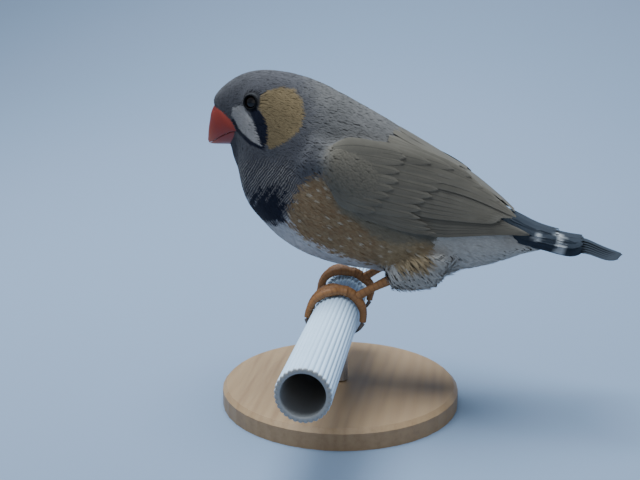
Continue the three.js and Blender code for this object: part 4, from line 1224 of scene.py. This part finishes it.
def bill_half(upper):
    """One mandible: its points, its faces and its colours."""
    share = np.linspace(0, 1, BILL_STEPS + 1)
    top, low, size = BILL_RIDGE.at(share), BILL_UNDER.at(share), BILL_SIZE.at(share)
    gap = MOUTH_GAP / np.linalg.norm(top - low, axis=1)
    mouth = size[:, 1] + (gap if upper else -gap)
    turn = np.linspace(-1, 1, BILL_SIDES) * math.pi / 2
    power = 2 / (UPPER_POWER if upper else LOWER_POWER)
    width = np.sign(turn) * np.abs(np.sin(turn)) ** power * (1.0 if upper else 0.92)
    level = mixed(mouth[:, None], 1.0 if upper else 0.0, np.cos(turn)[None, :] ** power)
    points = mixed(low[:, None], top[:, None], level[..., None])
    points[..., 0] = width * size[:, :1]
    points = points.reshape(-1, 3)
    tip = ramp(np.repeat(share, BILL_SIDES), 0.45, 1.0)
    colours = laid(plain(BILL_RED, points), BILL_TIP, tip)
    if upper:
        away = np.linalg.norm(np.hstack([np.abs(points[:, :1]), points[:, 1:]]) - NOSTRIL_PLACE, axis=1)
        pit = 1 - ramp(away, NOSTRIL_RADIUS * 0.4, NOSTRIL_RADIUS * 1.3)
        inward = unit(np.array([0, 2.0, -2.5]) - points * (1, 0, 0))
        points = points + inward * (pit * NOSTRIL_DEPTH)[:, None]
        # painted shade in the nostril's pit
        colours = laid(colours, NOSTRIL_SHADE, pit * 0.8)
    return points, tube_faces(BILL_STEPS + 1, BILL_SIDES), colours


def dress_bill(horn):
    for name, upper in (("bill_upper", True), ("bill_lower", False)):
        mesh = reworked(joined(name, [bill_half(upper)]), face_outwards)
        finished(name + "_horn", mesh, horn, [name])


# Eyes

EYE_RADIUS = 2.0
LID_RING = 1.75
LID_TUBE = 0.3
LID_ROUNDS, LID_SIDES = 64, 10
LID_FOLDS = 26
LID_THICK, LID_SINK = 0.2, 0.16


def node_middle(name):
    return from_row(np.mean(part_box(name), axis=0))


def eye_look(side_name):
    return unit(np.array([SIDES[side_name], -0.3, 0.08]))


def dress_eye(side_name, wet, lid):
    centre, look = node_middle(f"eye_{side_name}"), eye_look(side_name)
    place = Matrix.Translation(placed(centre)[0])
    ball = lambda form: bmesh.ops.create_uvsphere(form, u_segments=48, v_segments=32, radius=EYE_RADIUS * MM,
                                                  matrix=place)
    mesh = reworked(bpy.data.meshes.new("eyeball"), ball)
    finished(f"eyeball_{side_name}", mesh, wet, [f"eye_{side_name}"])
    depth = math.sqrt((EYE_RADIUS + GAP + LID_TUBE) ** 2 - LID_RING ** 2)
    up = unit(np.cross(look, (0, 1.0, 0)))
    turn = turns(LID_ROUNDS)[:, None]
    radial = up * np.cos(turn) + np.cross(look, up) * np.sin(turn)
    middle = centre + look * (depth - LID_SINK) + radial * (LID_RING - 0.1)
    tube = LID_THICK * (1 + 0.15 * np.sin(turn * LID_FOLDS))
    points = rings(middle, radial, look[None], tube, LID_SIDES)
    mesh = built("lids", points, *flat(grid_faces(LID_ROUNDS, LID_SIDES, True, True)))
    finished(f"lids_{side_name}", reworked(mesh, face_outwards), lid)


# Legs

PERCH_RADIUS = 5.5
GAP = 0.3
FOOT_OUT = 9.2
FOOT_ANGLE, FOOT_RADIUS, FOOT_REACH = -24, 7.1, (-14, 10)
ANKLE = (12.6, 9.6)
KNEE = (15.2, 10.9)
TARSUS_ANGLE, TARSUS_AWAY, TARSUS_BOW = -44, 0.25, 0.15
# How far each toe spreads, its angles round the perch at root and tip, and its radii there
TOES = {"inner": (-2.6, -8, 82, 1.0, 0.72), "middle": (0.0, -6, 98, 1.08, 0.74),
        "outer": (2.7, -8, 84, 0.98, 0.7), "hind": (0.2, -46, -98, 1.1, 0.8)}
TOE_ARCH = {"left": 0.12, "right": 0.65}
TARSUS_RADII, FOOT_RADII, CLAW_RADII = (1.1, 0.95, 1.15, 1.1), (1.15, 1.25, 1.1), (0.55, 0.42, 0.12)
# How many steps along, sides round and plates each limb has, and how far its plates stand out
TARSUS_PLATES, FOOT_PLATES, TOE_PLATES = (88, 20, 11, 0.05), (24, 20, 3, 0.04), (98, 18, 14, 0.07)
CLAW_START, CLAW_SWEEP = 3.2, 26  # degrees round the perch, past the toe's end
CLAW_TIP_AWAY = 0.3
CLAW_STEPS, CLAW_SIDES = 18, 12


def round_perch(angle, radius, x):
    turn = math.radians(angle)
    return (x, -math.sin(turn) * radius, math.cos(turn) * radius)


def plated_limb(points, radii, steps, sides, plates, depth):
    """A limb whose skin is laid in overlapping plates, with painted shade where they meet."""
    phase = lambda share: (share * plates) % 1.0
    swell = lambda share: 1 + depth * (1 - phase(share)) * np.minimum(1, phase(share) * 6)
    lit = 0.5 + 0.5 * ramp(phase(np.linspace(0, 1, steps + 1)), 0.0, 0.3)
    shades = laid(plain(LEG_SHADE, lit), LEG_ORANGE, lit)
    return *limb(points, radii, steps, sides, swell), np.repeat(shades, sides, axis=0)


def toe_and_claw(side_name, spread, start, end, root, tip):
    side = SIDES[side_name]
    points = [round_perch(FOOT_ANGLE, FOOT_RADIUS, side * (FOOT_OUT + spread * 0.3))]
    for share in np.linspace(0, 1, 7):
        arch = TOE_ARCH[side_name] * math.sin(math.pi * min(1, share / 0.8))
        away = PERCH_RADIUS + GAP + mixed(root, tip, share) + arch
        x = side * (FOOT_OUT + spread * mixed(0.35, 1.3, math.sqrt(share)))
        points.append(round_perch(mixed(start, end, share), away, x))
    toe = plated_limb(points, (root, root, tip * 1.12, tip), *TOE_PLATES)
    points = []
    turn = math.copysign(1, end - start)
    for share in np.linspace(0, 1, 5):
        away = PERCH_RADIUS + GAP + mixed(tip * 1.15, CLAW_TIP_AWAY, share ** 0.8)
        angle = end + turn * (CLAW_START + CLAW_SWEEP * share)
        points.append(round_perch(angle, away, side * (FOOT_OUT + spread * 1.3)))
    share = np.linspace(0, 1, CLAW_STEPS + 1)
    shades = laid(plain(CLAW_ROOT, share), CLAW_TIP, ramp(share, 0.1, 0.9))
    claw = limb(points, CLAW_RADII, CLAW_STEPS, CLAW_SIDES)
    return toe, (*claw, np.repeat(shades, CLAW_SIDES, axis=0))


def dress_leg(side_name, skin, horn):
    x = SIDES[side_name] * FOOT_OUT
    foot = round_perch(TARSUS_ANGLE, FOOT_RADIUS + TARSUS_AWAY, x)
    middle = (x, (foot[1] + ANKLE[0]) / 2, (foot[2] + ANKLE[1]) / 2 + TARSUS_BOW)
    tarsus = plated_limb([foot, middle, (x, *ANKLE), (x, *KNEE)], TARSUS_RADII, *TARSUS_PLATES)
    ends = [round_perch(FOOT_ANGLE + reach, FOOT_RADIUS, x) for reach in FOOT_REACH]
    toes, claws = zip(*(toe_and_claw(side_name, *toe) for toe in TOES.values()))
    forms = [tarsus, plated_limb(ends, FOOT_RADII, *FOOT_PLATES), *toes]
    leg_nodes = ["tarsus", "foot", *(f"toe_{name}" for name in TOES)]
    claw_nodes = [f"claw_{name}" for name in TOES]
    for piece, made, cloth, slot, replaced in (("leg", forms, skin, "leg_skin", leg_nodes),
                                               ("claws", claws, horn, "claw", claw_nodes)):
        mesh = reworked(joined(piece, made), face_outwards)
        finished(f"{piece}_{side_name}", mesh, cloth, [f"{node}_{side_name}" for node in replaced])


# Perch

PERCH_ENDS = (-27.0, 57.75)
PERCH_BORE = 4.3
PERCH_RIBS = 32
RIM_SHADE = 0.1  # painted shade on the cut ends
RIB_HEIGHT = 0.28
# painted shade in the valleys between the ribs
RIB_SHADE = 0.12
BORE_DIM_DEPTH = 9.0  # from an end to where the bore's painted shade is at its darkest
# How far from an end, and how far inside the full radius, each ring of a rounded edge lies
EDGE_RINGS = ((0.0, 0.3), (0.08, 0.12), (0.2, 0.04), (0.4, 0.0))


def perch_rings():
    """Rings of the tube's wall, out along its outside and back through its bore: the place along
    the perch, the radius and 1 for the ribbed outside or 0 for the bore."""
    far, near = PERCH_ENDS
    middle = np.linspace(far + 2, near - 2, 12)
    rings = []
    for outside, radius, edge in ((1, PERCH_RADIUS, -1), (0, PERCH_BORE, 0.8)):
        wall = [(far + away, radius + sunk * edge, outside) for away, sunk in EDGE_RINGS]
        wall += [(x, radius, outside) for x in middle]
        wall += [(near - away, radius + sunk * edge, outside) for away, sunk in EDGE_RINGS[::-1]]
        rings += wall if outside else wall[::-1]
    return rings


def dress_perch(plastic):
    x, radius, ribbed = (np.array(values, float)[:, None] for values in zip(*perch_rings()))
    around = PERCH_RIBS * 10
    valley = ribbed * (1 - np.abs(np.sin(turns(around) * PERCH_RIBS / 2)) ** 0.8)
    across, up = np.array([[0, 1, 0]]), np.array([[0, 0, 1]])
    points = rings(x * (1, 0, 0), across, up, radius - RIB_HEIGHT * valley, around)
    mesh = built("perch", points, *flat(grid_faces(len(x), around, True, True)))
    # The Shade attribute is painted shade: on the cut ends, deepening into the bore, and in the valleys
    # between the ribs
    from_end = np.minimum(x - PERCH_ENDS[0], PERCH_ENDS[1] - x)
    outside = mixed(RIM_SHADE, 1.0, ramp(from_end, 0.0, 0.5))
    inside = (1 - ramp(from_end, 0.0, BORE_DIM_DEPTH)) * RIM_SHADE
    finished("perch_tube", mesh, plastic, ["perch"])
    add_values(mesh, "Shade", np.where(ribbed > 0, outside, inside) - RIB_SHADE * valley)
    reworked(mesh, face_outwards)


# Stage, camera and light

# The sweep, in metres
SWEEP_FRONT, SWEEP_START, SWEEP_BEND = 1.2, -0.12, 0.95
SWEEP_TOP, SWEEP_SIDE = 1.8, 2.2
# Each light's place, target, size, power and colour
LIGHTS = {"key": ((-0.03, -0.08, 0.60), (0, 0.01, 0.05), 0.5, 8.8, (0.80, 0.91, 1.0)),
          "fill": ((0.45, 0.10, 0.10), (0, 0, 0.05), 0.6, 0.35, (0.95, 0.97, 1.0))}


def dress_stage():
    """A pale sweep painted darker towards the front, a floor that rises into a backdrop on the far side, and
    the sky's light.
    """
    finish = Finish("backdrop", 0.95, 0.2)
    depth = finish.ranged(finish.parts(finish.place)["X"], *BACKDROP_FADE)
    cloth = finish.done(finish.scaled(finish.steps(finish.noise(finish.place, 1.5), BACKDROP_STOPS), depth))
    turn = np.linspace(0, math.pi / 2, 33)
    profile = [(SWEEP_FRONT, 0.0)]
    profile += [(SWEEP_START - SWEEP_BEND * math.sin(a), SWEEP_BEND * (1 - math.cos(a))) for a in turn]
    profile += [(SWEEP_START - SWEEP_BEND, SWEEP_TOP)]
    points = [(x, y, z) for x, z in profile for y in (-SWEEP_SIDE, SWEEP_SIDE)]
    sweep = bpy.data.meshes.new("backdrop")
    sweep.from_pydata(points, [], grid_faces(len(profile), 2).tolist())
    sweep.polygons.foreach_set("use_smooth", [True] * len(sweep.polygons))
    sweep.materials.append(cloth)
    in_scene("backdrop", sweep)
    world = bpy.context.scene.world = bpy.data.worlds.new("studio")
    world.use_nodes = True
    background = world.node_tree.nodes["Background"].inputs
    background["Color"].default_value = (*SKY, 1)
    background["Strength"].default_value = SKY_STRENGTH


def dress_lights():
    for name, (place, target, size, power, colour) in LIGHTS.items():
        light = bpy.data.lights.new(name, "AREA")
        light.shape, light.size, light.energy, light.color = "DISK", size, power, colour
        turn = (Vector(target) - Vector(place)).to_track_quat("-Z", "Y").to_matrix().to_4x4()
        in_scene(name, light).matrix_world = Matrix.Translation(place) @ turn


def dress_camera():
    camera = bpy.data.cameras.new("camera")
    camera.lens, camera.sensor_width, camera.clip_start = CAMERA_LENS, CAMERA_SENSOR, 0.005
    eye = in_scene("camera", camera)
    axes = Matrix((CAMERA_RIGHT, -Vector(CAMERA_DOWN), -Vector(CAMERA_AHEAD))).transposed()
    eye.matrix_world = Matrix.Translation(CAMERA_PLACE) @ axes.to_4x4()
    bpy.context.scene.camera = eye


dress_camera()
dress_stage()
dress_lights()

coat, vanes, leg_skin, lids = plumage_finish(), vane_finish(), scaled_skin_finish(), lid_finish()
bill_horn, claw_horn = horn_finish("bill_horn", 0.38, 0.1), horn_finish("claw_horn", 0.35, 0.2)
wood, steel = wood_finish(), steel_finish()

dress_body(coat)
for name in SIDES:
    dress_wing(name, vanes)
    dress_eye(name, eye_finish(name), lids)
    dress_leg(name, leg_skin, claw_horn)
dress_tail(vanes)
dress_bill(bill_horn)
dress_perch(perch_finish())
for node, made in (("stand_base", wood), ("stand_rod", steel), ("stand_saddle", steel)):
    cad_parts[node].data.materials.clear()
    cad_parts[node].data.materials.append(made)
